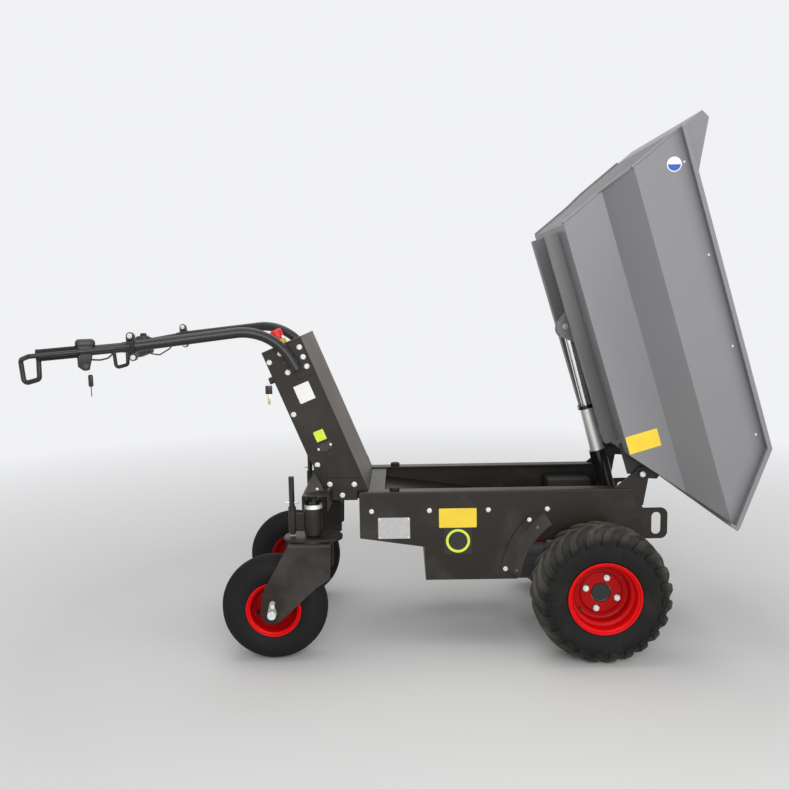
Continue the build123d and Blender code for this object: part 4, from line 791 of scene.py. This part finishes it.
PLATE_BOLTS = (38, 220, 405, 590)
PLATE_BOLT_LINE = -61
TOWER_BOLTS = (
    # down, back, proud
    (33.9, 119.4, 0), (21.7, 76.7, 0), (84.8, 79.2, 0), (27.0, 13.0, 4),
    (59.2, 14.8, 4), (90.4, 16.2, 4), (213.0, 116.5, 0), (389.7, 113.5, 0),
)
SOCKET_SCREWS = ((345.7, 48.1), (345.3, 88.6))
FOOT_BOLTS = ((-93, 22.7), (-15.6, 21.4), (-54, -13))
CLAMP_FACES = ((311, 1), (295, -1))
GUARD_FASTENERS = (
    # name, slot, finish, then along the plate, up, proud, how far it leans away from the axle, scale
    ("guard_bolts", "zinc", "zinc", ((533, -94, 4.4, 0, 0.72), (458, -252, 4.4, 0, 0.78))),
    (
        "guard_screws", "frame_paint", "dull_steel",
        ((556.2, -114.3, 22.4, 1.14, 0.6), (490.2, -250.2, 29.1, 1.14, 0.6)),
    ),
)
EYE_PIN = (-57.6, 31, 1008.5)
LIP_RIVETS = ((207.7, 1479.5), (283.4, 1220.3), (359.5, 959.1), (435.1, 699.1))
RIVET_FACE = 360


class DUMPER_OT_fasteners(bpy.types.Operator):
    """Zinc bolts, screws and rivets on the chassis, tower, handlebar, hinge and skip"""

    bl_idname = "dumper.fasteners"
    bl_label = "Fasteners"

    def execute(self, context):
        clamp = corner("handle_clamps")
        foot_face = corner("tower_feet", y=1).y
        spots = []
        for _, side in SIDES:
            out = (0, side, 0)
            spots += [bolt_spot(on_plate(along, PLATE_BOLT_LINE, side), out, 0.78) for along in PLATE_BOLTS]
            spots += [bolt_spot(on_tower(down, back, side, lift), out, 0.86) for down, back, lift in TOWER_BOLTS]
            for forward, up in FOOT_BOLTS:
                place = on_plate(forward, up, side)
                place.y = side * foot_face
                spots.append(bolt_spot(place, out, 0.86))
            for lift in (32, -32):
                for across, way in CLAMP_FACES:
                    place = clamp + bar_up * lift * MM + Vector((0, side * across * MM, 0))
                    spots.append(bolt_spot(place, (0, side * way, 0), 0.8))
        spots += [bolt_spot(on_tower(down, back, -1, 3.0), (0, -1, 0), 0.42) for down, back in SOCKET_SCREWS]
        bolts_piece("chassis_bolts", spots)

        for name, slot, look, places in GUARD_FASTENERS:
            spots = []
            for _, side in SIDES:
                for along, up, proud, lean, scale in places:
                    place = on_plate(along, up, side, proud)
                    away = ((place - corner("drive_axle")) * Vector((1, 0, 1))).normalized()
                    spots.append(bolt_spot(place, away * lean + Vector((0, side, 0)), scale))
            bolts_piece(name, spots, slot=slot, look=look)

        pins = [bolt_spot(corner("hinge_pins", y=side), (0, side, 0), 0.9) for _, side in SIDES]
        bolts_piece("hinge_pin_heads", pins, frame["nodes"]["hinge_pins"]["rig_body"])
        forward, out, up = EYE_PIN
        eyes = [bolt_spot(gauge(forward, side * out, up), (0, side, 0)) for _, side in SIDES]
        bolts_piece("eye_pin_heads", eyes, "skip", "skip_paint", "plate")
        rivets = [
            bolt_spot(gauge(forward, side * RIVET_FACE, up), (0, side, 0), 0.34)
            for _, side in SIDES for forward, up in LIP_RIVETS
        ]
        bolts_piece("skip_rivets", rivets, "skip")
        return {"FINISHED"}


# ---------------------------------------------------------------- wheels
def tyre_profile(outer):
    """A closed tyre section from the outer half-profile of (a, r) pairs, thin inside."""
    left = [(-a, r) for a, r in reversed(outer) if a > 0]
    inner = [(a * 0.84, r - 9 if r > outer[-1][1] + 14 else r) for a, r in outer]
    inner_left = [(-a, r) for a, r in inner if a > 0]
    # from the middle of the crown right and down, back along the inside, and up the left
    return [*outer, *reversed(inner), *inner_left, *left]


DRIVE_CARCASS = (
    # from the middle of the crown outwards, radius
    (0.0, 201.6), (22.0, 201.2), (40.0, 199.6), (54.0, 195.6), (63.0, 189.8), (69.5, 182.0), (74.0, 172.5),
    (77.4, 161.0), (78.8, 150.0), (77.2, 138.0), (74.4, 128.5), (71.6, 121.5), (71.4, 118.0), (69.8, 115.6),
    (68.4, 113.0), (67.0, 111.4), (66.0, 104.0),
)
LUGS = 23


def caster_carcass():
    grooves = []
    for a, r in ((8.0, 164.6), (21.0, 161.6), (34.0, 154.6)):
        grooves += [(a - 3.0, r + 0.3), (a - 1.8, r - 4.2), (a + 1.8, r - 4.8), (a + 3.0, r - 1.2)]
    return (
        (0.0, 165.0), *grooves, (42.0, 148.2), (48.5, 139.5), (52.4, 128.0), (53.4, 118.0), (52.0, 107.0),
        (49.0, 98.0), (46.0, 92.4), (45.6, 90.0), (44.0, 87.6), (42.5, 85.6), (41.5, 78.5),
    )


def surface_walk(profile):
    """Gives a function from a distance along a profile to its point and outward normal."""
    points = [Vector((a, r)) for a, r in profile]
    lengths = [0.0]
    for before, after in zip(points, points[1:]):
        lengths.append(lengths[-1] + (after - before).length)

    def at(distance):
        flip = -1 if distance < 0 else 1
        s = min(abs(distance), lengths[-1] - 1e-6)
        step = max(i for i, length in enumerate(lengths) if length <= s)
        share = (s - lengths[step]) / (lengths[step + 1] - lengths[step])
        point = points[step].lerp(points[step + 1], share)
        along = (points[step + 1] - points[step]).normalized()
        normal = Vector((-along.y, along.x))
        return Vector((flip * point.x, point.y)), Vector((flip * normal.x, normal.y))

    return at


LUG_REACH = 92.0
LUG_SWEEP = 0.36


def tread_lug(half, walk):
    """One chevron lug about the origin's y axis: a block laid from the middle over a shoulder."""
    bm = bmesh.new()
    bmesh.ops.create_cube(bm, size=1.0)
    long_edges = [e for e in bm.edges if abs(e.verts[0].co.x - e.verts[1].co.x) > 0.5]
    bmesh.ops.subdivide_edges(bm, edges=long_edges, cuts=9)
    for v in bm.verts:
        t, w, h = min(1.0, max(0.0, v.co.x + 0.5)), v.co.y, v.co.z + 0.5
        point, normal = walk(-5.0 + (LUG_REACH + 5.0) * t)
        height = 9.8 * min(1.0, (1.0 - t) * 9.0 + 0.5) if h > 0.5 else -3.0
        width = (17.0 + 13.0 * t) * (1.0 - 0.16 * h)
        spot = point + normal * height
        angle = LUG_SWEEP * (1.0 - (1.0 - t) ** 1.7) + w * width / spot.y
        v.co = Vector((math.cos(angle) * spot.y, half * spot.x, math.sin(angle) * spot.y)) * MM
    bmesh.ops.recalc_face_normals(bm, faces=bm.faces)
    return pattern_of("lug_pattern", bm)


class DUMPER_OT_tyres(bpy.types.Operator):
    """Tractor-tread drive tyres and ribbed caster tyres"""

    bl_idname = "dumper.tyres"
    bl_label = "Tyres"

    def execute(self, context):
        walk = surface_walk(DRIVE_CARCASS)
        lugs = [(half, tread_lug(half, walk)) for half in (1, -1)]
        for name, _ in SIDES:
            centre = corner(f"drive_tyre_{name}")
            bm = bmesh.new()
            turned_ring(bm, tyre_profile(DRIVE_CARCASS), centre, (0, 1, 0), 120)
            merged(bm)
            carcass = pattern_of("carcass", bm)
            bm = bmesh.new()
            for half, lug in lugs:
                offset = 0.5 if half < 0 else 0.0
                turns = [-math.tau * (place + offset) / LUGS for place in range(LUGS)]
                scatter(bm, lug, [Matrix.Translation(centre) @ Matrix.Rotation(a, 4, "Y") for a in turns])
            bm.from_mesh(carcass)
            bpy.data.meshes.remove(carcass)
            tyre = piece_of(
                f"drive_tyre_{name}_treaded", bm, f"drive_wheel_{name}", "tyre", "drive_tyre",
                replaced=[f"drive_tyre_{name}"], sharp_angle=40.0,
            )
            soften(tyre, 2.2 * MM, 2, 50.0)
            rings = [(tyre_profile(caster_carcass()), corner(f"caster_tyre_{name}"), (0, 1, 0), 120)]
            rings_piece(
                f"caster_tyre_{name}_ribbed", rings, f"caster_wheel_{name}", "tyre", "tyre",
                replaced=[f"caster_tyre_{name}"], sharp_angle=40.0,
            )
        return {"FINISHED"}


# profiles along the axle outwards, radius
DISC_FACE = 12.0
DRIVE_RIM = (
    (-74, 112), (-74, 108), (-69, 103.5), (-66, 98), (-40, 97), (-30, 85), (-4, 83), (1, 78), (1, 66), (6, 60),
    (7, 50), (7, 30.5), (12, 30.5), (12, 46), (12, 61), (7.5, 67), (7, 76), (10, 82), (16, 84), (30, 84.5),
    (35, 87), (40, 94.5), (45, 96.5), (62, 97.5), (66, 99), (69, 103.5), (73.4, 106), (74, 110), (72, 112), (70, 111),
    (67, 102.5), (46, 102), (36, 90), (-26, 90), (-36, 102), (-67, 102.5), (-70, 112),
)
CASTER_RIM = (
    (-47, 86), (-47, 82), (-43, 78), (-40, 73), (-20, 72), (-8, 60), (-4, 42), (-6, 26), (-20, 24), (-58, 24),
    (-58, 10.2), (58, 10.2), (58, 24), (20, 24), (4, 27), (2, 42), (-1, 58), (12, 70), (40, 73), (43, 78),
    (46.5, 81), (47, 84), (45.5, 86), (44, 85), (41.5, 77.2), (-41.5, 77.2), (-43.5, 86),
)
HUB_CAP = (
    (-5, 0), (-5, 29.6), (-1.5, 29.6), (-0.2, 28.8), (0.2, 27.0), (-0.2, 25.4), (-1.0, 24.6), (-0.8, 12),
    (-0.6, 0),
)
# black discs under the wheel nuts: painted shade of the stud holes and of the nuts' shadows on the disc
STUD_SHADE_DISC = ((-0.4, 0.0), (-0.4, 12.0), (0.5, 12.0), (0.5, 0.0))
STUD_CIRCLE = 50
NUT_WASHER = ((0.0, 0.0), (0.0, 10.6), (1.6, 10.6), (2.4, 9.6), (2.4, 0.0))


def nut_mesh():
    """A flanged hexagon nut, standing on the origin along z."""
    bm = bmesh.new()
    turned_ring(bm, NUT_WASHER, Vector(), (0, 0, 1), 36)
    merged(bm)
    washer = pattern_of("washer", bm)
    bm = bmesh.new()
    hexagon(bm, Vector(), 9.4, 2, 9.5, (1.6, 1.2))
    bm.from_mesh(washer)
    bpy.data.meshes.remove(washer)
    return pattern_of("nut_pattern", bm)


class DUMPER_OT_rims(bpy.types.Operator):
    """Gloss red rims with nuts, hub caps and valves"""

    bl_idname = "dumper.rims"
    bl_label = "Rims"

    def execute(self, context):
        nut = nut_mesh()
        for name, side in SIDES:
            out = Vector((0, side, 0))
            for kind, profile, rounding in (("drive", DRIVE_RIM, 1.6), ("caster", CASTER_RIM, 1.4)):
                rim = f"{kind}_rim_{name}"
                painted = rings_piece(
                    f"{rim}_painted", [(profile, corner(rim), out, 120)], f"{kind}_wheel_{name}", "rim_paint",
                    f"{kind}_rim", replaced=[rim], sharp_angle=30.0,
                )
                soften(painted, rounding * MM, 3, 18.0)

            centre = corner(f"drive_rim_{name}")
            wheel = f"drive_wheel_{name}"
            disc = centre + out * DISC_FACE * MM
            angles = [math.radians(side * 18 + 90 * turn) for turn in range(4)]
            studs = [disc + Vector((math.cos(a), 0, math.sin(a))) * STUD_CIRCLE * MM for a in angles]
            bm = bmesh.new()
            scatter(bm, nut, [bolt_spot(stud, out, 0.84) for stud in studs])
            piece_of(f"wheel_nuts_{name}", bm, wheel, "zinc", "zinc")
            rings_piece(f"hub_cap_{name}", [(HUB_CAP, disc, out, 64)], wheel, "black_plastic", "cap_black")
            # a black disc round each stud, which is painted shade
            shade_discs = [(STUD_SHADE_DISC, stud, out, 32) for stud in studs]
            rings_piece(f"stud_shade_discs_{name}", shade_discs, wheel, "black_plastic", "cap_black")

            foot = centre + Vector((-64, side * -4, -50)) * MM
            tip = foot + Vector((-2, side * 24, 0)) * MM
            neck = foot.lerp(tip, 0.6)
            rods = ((foot, neck, 6.4), (neck, tip, 4.6))
            rods_piece(f"drive_valve_{name}", rods, 20, wheel, "black_plastic", "cap_black")
            foot = corner(f"caster_rim_{name}") + Vector((-50, side * 12, -14)) * MM
            lean = Vector((-0.2, side * 1.0, 0.0))
            neck, tip = (foot + lean * reach * MM for reach in (18, 28))
            rods = ((foot, neck, 4.2), (neck, tip, 3.2))
            rods_piece(f"caster_valve_{name}", rods, 14, f"caster_wheel_{name}", "black_plastic", "cap_black")
        bpy.data.meshes.remove(nut)
        return {"FINISHED"}


# ---------------------------------------------------------------- labels and plates
NEAR_SIDE = (0, -1, 0)
UPRIGHT = (0, 0, 1)
NAMEPLATE = (108, -116)
ROUND_STICKER = (309, -160)
STICKER_RING = ((0.3, 30.0), (0.3, 38.0), (0.7, 38.0), (0.7, 30.0))
LEVEL_DISC = ((0.0, 0.0), (0.0, 21.0), (1.4, 21.0), (1.8, 20.2), (1.8, 18.4), (1.3, 18.0), (1.3, 0.0))
LEVEL_PLACE = (179.3, -360, 1473)


def patch_on(name, place, up, size, look, slot, body="chassis", thick=0.4, rounding=2.0):
    """A thin plate or sticker lying on the near side of a surface."""
    bm = flat_plate((*size, thick), rounding, 4, facing(place, NEAR_SIDE, up))
    piece_of(name, bm, body, slot, look)


def level_disc():
    """A round disc whose lower half is a second colour."""
    bm = bmesh.new()
    turned_ring(bm, LEVEL_DISC, gauge(*LEVEL_PLACE), NEAR_SIDE, 48)
    merged(bm)
    middle = gauge(*LEVEL_PLACE) + Vector(NEAR_SIDE) * 1.3 * MM
    bmesh.ops.bisect_plane(
        bm, geom=bm.verts[:] + bm.edges[:] + bm.faces[:], dist=0.02 * MM, plane_co=middle, plane_no=UPRIGHT,
    )
    merged(bm)
    for face in bm.faces:
        spot = face.calc_center_median() - middle
        face.material_index = int(spot.z < 0 and abs(spot.y) < 0.2 * MM and spot.length < 18.2 * MM)
    piece_of("level_disc", bm, "skip", "zinc", "sticker_white", "sticker_blue")


class DUMPER_OT_labels(bpy.types.Operator):
    """Blank stickers, the blank nameplate and the level disc"""

    bl_idname = "dumper.labels"
    bl_label = "Labels"

    def execute(self, context):
        along, up = NAMEPLATE
        patch_on("nameplate", on_plate(along, up, -1, 0.4), UPRIGHT, (100, 68), "plate", "zinc", thick=0.8)
        rivets = [on_plate(along + x, up + z, -1, 0.6) for x in (-45, 45) for z in (-29, 29)]
        bolts_piece("nameplate_rivets", [bolt_spot(place, NEAR_SIDE, 0.28) for place in rivets])
        patch_on(
            "skip_sticker", gauge(135.5, -265.3, 666.4), (-0.277, 0, 0.96), (99, 55), "sticker_yellow",
            "signal_yellow", "skip",
        )
        level_disc()
        stickers = (
            # name, place, up, size, finish, slot
            (
                "yellow_sticker", on_plate(309, -86, -1, 0.2), UPRIGHT, (118, 62), "sticker_yellow",
                "signal_yellow",
            ),
            (
                "black_sticker", on_plate(*ROUND_STICKER, -1, 0.2), UPRIGHT, (86, 86), "sticker_black",
                "black_plastic",
            ),
            ("white_sticker", on_tower(163, 57, -1, 0.2), -tower_down, (51, 58), "sticker_white", "zinc"),
            ("lime_sticker", on_tower(307, 68, -1, 0.2), -tower_down, (33, 34), "sticker_lime", "signal_yellow"),
        )
        for sticker in stickers:
            patch_on(*sticker)
        ring = [(STICKER_RING, on_plate(*ROUND_STICKER, -1), NEAR_SIDE, 64)]
        rings_piece("sticker_ring", ring, "chassis", "signal_yellow", "sticker_lime")
        # black patches painted as the shade inside a small hole in the tower and a slit in the side plate
        for name, place, size, rounding in (
            ("tower_hole_shade", on_tower(53.5, 75.3, -1, 0.05), (8, 8), 3.9),
            ("plate_slit_shade", on_plate(10.5, -56.5, -1, 0.05), (20, 1.6), 0.6),
        ):
            patch_on(name, place, UPRIGHT, size, "cap_black", "black_plastic", thick=0.3, rounding=rounding)
        return {"FINISHED"}


# ---------------------------------------------------------------- grips, controls and cylinder
GLAND_PROFILE = (
    # along the cylinder, radius
    (-7, 14.4), (-7, 28.2), (-6.2, 29), (-2.4, 29), (-1.8, 25.4), (1.8, 25.4), (2.4, 29), (5.2, 29), (6, 28.2),
    (6, 16.5), (4, 14.4),
)


def sleeve_profile():
    """A ribbed rubber grip from its end, with a collar at the inner end."""
    ribs = [(0.0, 14.7), (0.0, 17.0), (1.2, 18.0), (6.0, 18.0)]
    for start in range(8, 108, 5):
        ribs += [(start, 17.1), (start + 2.2, 17.1), (start + 2.7, 17.9), (start + 4.5, 17.9)]
    return tuple(ribs) + ((110.0, 17.2), (112.0, 18.0), (118.6, 18.0), (119.8, 17.2), (119.8, 14.7))


def hanging_key(name, top, head, blade, rounding, blade_look):
    """A key hanging straight down: a ring, a moulded head and a bare blade, in millimetres."""
    wire = [(0.7 * math.sin(a), 5.0 + 0.7 * math.cos(a)) for a in (math.tau * i / 8 for i in range(8))]
    rings_piece(f"{name}_ring", [(wire, top, (0, 1, 0), 24)], "chassis", "zinc", "zinc")
    for part, size, drop, bevel, steps, slot, look in (
        ("head", head, 4, rounding, 4, "black_plastic", "cap_black"),
        ("blade", blade, 3 + head[2], 0.5, 2, "sleeve_metal", blade_look),
    ):
        bm = bmesh.new()
        middle = top - Vector((0, 0, drop + size[2] / 2)) * MM
        block(bm, [v * MM for v in size], Matrix.Translation(middle), bevel * MM, steps)
        piece_of(f"{name}_{part}", bm, "chassis", slot, look)


GRIP_INNER = (-1393, 303)
GRIP_OUTER = (-1643, 391)
GRIP_LEVEL = 984
GRIP_DROPS = ((1, 42.0), (-1, 16.0))
BUTTONS = (
    # side, forward, outwards, up
    (-1, 12, 15, -18), (-1, 14, 15, -62), (1, -38, 14, -60),
)
HOODS = (
    # side, forward, up, size
    (-1, 14, 1, (56, 36, 28)), (1, -34, -10, (24, 18, 16)),
)


class DUMPER_OT_controls(bpy.types.Operator):
    """Ribbed grips, keys and the small parts of the control housings and the cylinder"""

    bl_idname = "dumper.controls"
    bl_label = "Controls"

    def execute(self, context):
        grips = []
        for side, drop in GRIP_DROPS:
            inner = gauge(GRIP_INNER[0], side * GRIP_INNER[1], GRIP_LEVEL)
            end = gauge(GRIP_OUTER[0], side * GRIP_OUTER[1], GRIP_LEVEL - drop)
            grips.append((sleeve_profile(), end, inner - end, 40))
        rings_piece("ribbed_grips", grips, "chassis", "rubber", "rubber", replaced=["grip_sleeves"])

        gland = corner("cylinder_gland")
        rings = [(GLAND_PROFILE, gland, gland - corner("cylinder_sleeve"), 64)]
        body = frame["nodes"]["cylinder_gland"]["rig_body"]
        ring = rings_piece(
            "grooved_gland", rings, body, "black_steel", "gloss_black", replaced=["cylinder_gland"]
        )
        soften(ring, 0.5 * MM)

        buttons = []
        for side, forward, out, up in BUTTONS:
            place, outward = on_grip(forward, out, up, side)
            for reach, radius in ((3.0, 10.0), (5.5, 7.0)):
                steps = ((-2.0, 0.0), (-2.0, radius), (reach - 0.8, radius), (reach, radius - 0.8), (reach, 0.0))
                buttons.append((steps, place, outward, 32))
        rings_piece("control_buttons", buttons, "chassis", "black_plastic", "cap_black")

        bm = bmesh.new()
        for side, forward, up, size in HOODS:
            place, outward = on_grip(forward, -2, up, side)
            block(bm, [v * MM for v in size], facing(place, (0, 0, 1), outward), min(size) * 0.42 * MM, 5)
        piece_of("control_hoods", bm, "chassis", "black_plastic", "black_plastic")

        hanging_key("tower_key", gauge(-1020.4, -130, 845), (22, 7, 27), (8, 2, 34), 2.4, "key_brass")
        hanging_key("grip_key", gauge(-1505, -351, 911), (14, 10, 36), (3, 1.6, 30), 4.8, "dull_steel")
        return {"FINISHED"}


# ---------------------------------------------------------------- swivels
SWIVEL = (-877.0, 261.0)
LOCK_BACK = 64.0
# heights of things at the swivels
LOCK_PLATE_LEVEL = 383
PIN_COLLAR_LEVEL = 393
COLLAR_LEVEL = 476
CAP_LEVEL = 489
PIN_CROSS_LEVEL = 492
# profiles along the axis, radius
HOUSING_SLEEVE = ((-80, 25.6), (-80, 27.6), (-0.2, 27.6), (-0.2, 25.6))
COLLAR = ((0, 25.8), (0, 30.5), (2, 30.5), (4, 29.4), (10, 29.4), (12, 28.2), (12, 25.8))
PIN_CROSS = ((6, 0), (6, 3.6), (18, 3.6), (21, 1.6), (21, 0))
PIN_COLLAR = ((0.2, 0), (0.2, 7.2), (1.2, 8.2), (7, 8.2), (7, 0))
# a black disc painted as the shade in a hole of the lock plate
LOCK_HOLE_SHADE = ((-0.5, 0), (-0.5, 10.5), (0.15, 10.5), (0.15, 0))
AXLE_END = ((-0.5, 0), (-0.5, 13), (1.8, 13), (2.4, 12.2), (2.4, 9), (1.2, 8), (1.2, 0))
KEEPER_SCREW = ((-0.5, 0), (-0.5, 6), (1.6, 6), (2.4, 5), (2.4, 2.6), (1.0, 2.2), (1.0, 0))
# ahead of the drive axle, left and above the floor
AXLE_END_PLACE = (-1004, 339, 160)
KEEPER_SCREW_PLACE = (-1001, 333, 186)
GUSSET = ((-900, 268, 522.3), (-842, 236, 522.3), (-876, 188.3, 573))
GUSSET_BOLT = (0.31, 0.57, 0.12)


def at_swivel(side, up, back=0.0):
    """A point on a caster's swivel axis or behind it, in millimetres."""
    return gauge(SWIVEL[0] - back, side * SWIVEL[1], up)


class DUMPER_OT_swivels(bpy.types.Operator):
    """Lock plates, collars, caps and gussets at the caster swivels"""

    bl_idname = "dumper.swivels"
    bl_label = "Swivels"

    def execute(self, context):
        sleeves, collars = [], []
        for _, side in SIDES:
            foot = at_swivel(side, COLLAR_LEVEL)
            sleeves.append((HOUSING_SLEEVE, foot, UPRIGHT, 48))
            collars.append((COLLAR, foot, UPRIGHT, 48))
            cross = at_swivel(side, PIN_CROSS_LEVEL, LOCK_BACK)
            collars += [(PIN_CROSS, cross, (end, 0, 0), 20) for end in (-1, 1)]
            collars.append((PIN_COLLAR, at_swivel(side, PIN_COLLAR_LEVEL, LOCK_BACK), UPRIGHT, 32))
        rings_piece("housing_sleeves", sleeves, "chassis", "frame_paint", "frame_paint")
        rings_piece("swivel_collars", collars, "chassis", "zinc", "zinc")

        for name, side in SIDES:
            body = f"caster_swivel_{name}"
            middle = at_swivel(side, LOCK_PLATE_LEVEL)
            bm = flat_plate((180, 104, 9.4), 50, 16, Matrix.Translation(middle))
            soften(piece_of(f"lock_plate_{name}", bm, body, "frame_paint", "frame_paint"), 1.4 * MM)

            # black discs on the lock plate's two holes are painted shade; the hexagon is the black spindle cap
            bm = bmesh.new()
            for end in (-1, 1):
                hole = middle + Vector((end * LOCK_BACK, 0, 4.7)) * MM
                turned_ring(bm, LOCK_HOLE_SHADE, hole, UPRIGHT, 32)
            hexagon(bm, at_swivel(side, CAP_LEVEL), 17.6, 0, 16, (3, 3))
            merged(bm)
            piece_of(f"spindle_cap_and_hole_shade_{name}", bm, body, "black_plastic", "cap_black")

            screws = [
                (profile, gauge(forward, side * left, up), (0, side, 0), steps)
                for profile, (forward, left, up), steps in (
                    (AXLE_END, AXLE_END_PLACE, 40), (KEEPER_SCREW, KEEPER_SCREW_PLACE, 32),
                )
            ]
            rings_piece(f"keeper_screws_{name}", screws, body, "zinc", "zinc")

        bm = bmesh.new()
        bolts = []
        for _, side in SIDES:
            corners = [gauge(forward, side * left, up) for forward, left, up in GUSSET]
            inwards = (corners[1] - corners[0]).cross(corners[2] - corners[0]).normalized() * side
            place = sum((spot * share for spot, share in zip(corners, GUSSET_BOLT)), Vector())
            bolts.append(bolt_spot(place, -inwards, 0.5))
            prism(bm, corners, inwards * 5 * MM)
        # the gussets take the lighter copy of the frame paint, which is painted light
        soften(piece_of("beam_gussets", bm, "chassis", "frame_paint", "guard_paint"), 0.8 * MM)
        bolts_piece("gusset_bolts", bolts)
        return {"FINISHED"}


# ---------------------------------------------------------------- guards and back wall
GUARD_LIP = (
    # out from the middle, radius
    (217, 271.5), (251.2, 241.5), (251.2, 238.5), (217, 268.5),
)
GUARD_FLANGE = (
    # out from the middle, radius
    (213.3, 297), (217.5, 296), (217.5, 269), (213.3, 268),
)
FLANGE_END = ((0, 0), (0, 14.4), (3.4, 14.4), (4.1, 13.7), (4.1, 0))
LIP_ARC = (125, 173)
FLANGE_ARC = (132.5, 172.5)
WEB_OUTLINE = (
    # along the skip's floor, up from it
    (698, -1), (704, -7.6), (800, -7.6), (812, 22), (728, 1),
)
WEB_THICKNESS = 7.2
WALL_FLANGES = (
    # up the wall from and to, half width there from and to, proud
    (3, 146, 265, 265, 6.0), (142, 232, 265, 360, 5.7), (228, 405, 360, 360, 6.0),
)
FLANGE_WIDTH = 22
WALL_SHADE_OUTLINE = (
    # up the wall, half width
    (6, 238), (150, 238), (236, 330), (400, 330),
)


class DUMPER_OT_guards(bpy.types.Operator):
    """Slanted lips and bolted flanges of the wheel guards, and the webs of the hinge lugs"""

    bl_idname = "dumper.guards"
    bl_label = "Guards"

    def execute(self, context):
        axle = corner("drive_axle")
        lips, flanges, webs = bmesh.new(), bmesh.new(), bmesh.new()
        ends = [math.radians(angle) for angle in FLANGE_ARC]
        inner = corner("hinge_lugs", y=1).y - 7.6 * MM
        for _, side in SIDES:
            arc_band(lips, GUARD_LIP, axle, side, *(math.radians(angle) for angle in LIP_ARC))
            arc_band(flanges, GUARD_FLANGE, axle, side, *ends)
            for angle in ends:
                end = axle + Vector((math.cos(angle), 0, math.sin(angle))) * 282.5 * MM
                end.y = side * GUARD_FLANGE[0][0] * MM
                turned_ring(flanges, FLANGE_END, end, (0, side, 0), 32)
            web = [on_skip(along, up) + Vector((0, side * inner, 0)) for along, up in WEB_OUTLINE]
            prism(webs, web, (0, side * WEB_THICKNESS * MM, 0))
        bmesh.ops.remove_doubles(flanges, verts=flanges.verts, dist=1e-6)
        bmesh.ops.recalc_face_normals(flanges, faces=flanges.faces)
        # the guard lips take the lighter copy of the frame paint, which is painted light
        piece_of("guard_lips", lips, "chassis", "frame_paint", "guard_paint")
        piece_of("guard_flanges", flanges, "chassis", "frame_paint", "frame_paint")
        piece_of("hinge_webs", webs, "skip", "hinge_paint", "hinge_paint")
        return {"FINISHED"}


class DUMPER_OT_back_wall(bpy.types.Operator):
    """Edge flanges on the outside of the skip's back wall, and a darker panel between them that is painted shade"""

    bl_idname = "dumper.back_wall"
    bl_label = "Back wall"

    def execute(self, context):
        bm = bmesh.new()
        for _, side in SIDES:
            for low, high, near, far, proud in WALL_FLANGES:
                start = on_wall(low, side * (near - 12), proud / 2)
                end = on_wall(high, side * (far - 12), proud / 2)
                size = (FLANGE_WIDTH * MM, (end - start).length, proud * MM)
                block(bm, size, facing((start + end) / 2, WALL_OUT, end - start), 1.2 * MM)
        piece_of("wall_flanges", bm, "skip", "skip_paint", "skip_paint")

        # a darker sheet on the back wall between the flanges: painted shade
        bm = bmesh.new()
        outline = [on_wall(up, left, 0.1) for up, left in WALL_SHADE_OUTLINE]
        outline += [on_wall(up, -left, 0.1) for up, left in reversed(WALL_SHADE_OUTLINE)]
        prism(bm, outline, WALL_OUT * 0.8 * MM)
        piece_of("wall_shade_panel", bm, "skip", "skip_paint", "skip_shade")
        return {"FINISHED"}


class DUMPER_PT_panel(bpy.types.Panel):
    """The steps that dress the dumper"""

    bl_label = "Dumper"
    bl_space_type = "VIEW_3D"
    bl_region_type = "UI"
    bl_category = "Dumper"

    def draw(self, context):
        for step in STEPS:
            self.layout.operator(step.bl_idname)


STEPS = (
    DUMPER_OT_finishes,
    DUMPER_OT_plates,
    DUMPER_OT_tyres,
    DUMPER_OT_rims,
    DUMPER_OT_controls,
    DUMPER_OT_swivels,
    DUMPER_OT_guards,
    DUMPER_OT_back_wall,
    DUMPER_OT_fasteners,
    DUMPER_OT_labels,
    DUMPER_OT_stage,
)
CLASSES = (DumperColours, DumperSizes, *STEPS, DUMPER_PT_panel)


def register():
    for item in CLASSES:
        bpy.utils.register_class(item)
    bpy.types.Scene.dumper_colours = bpy.props.PointerProperty(type=DumperColours)
    bpy.types.Scene.dumper_sizes = bpy.props.PointerProperty(type=DumperSizes)


def unregister():
    del bpy.types.Scene.dumper_sizes
    del bpy.types.Scene.dumper_colours
    for item in reversed(CLASSES):
        bpy.utils.unregister_class(item)


def main():
    register()
    bpy.ops.dumper.finishes()
    bpy.ops.dumper.plates()
    bpy.ops.dumper.tyres()
    bpy.ops.dumper.rims()
    bpy.ops.dumper.controls()
    bpy.ops.dumper.swivels()
    bpy.ops.dumper.guards()
    bpy.ops.dumper.back_wall()
    bpy.ops.dumper.fasteners()
    bpy.ops.dumper.labels()
    bpy.ops.dumper.stage()


if __name__ == "__main__":
    main()
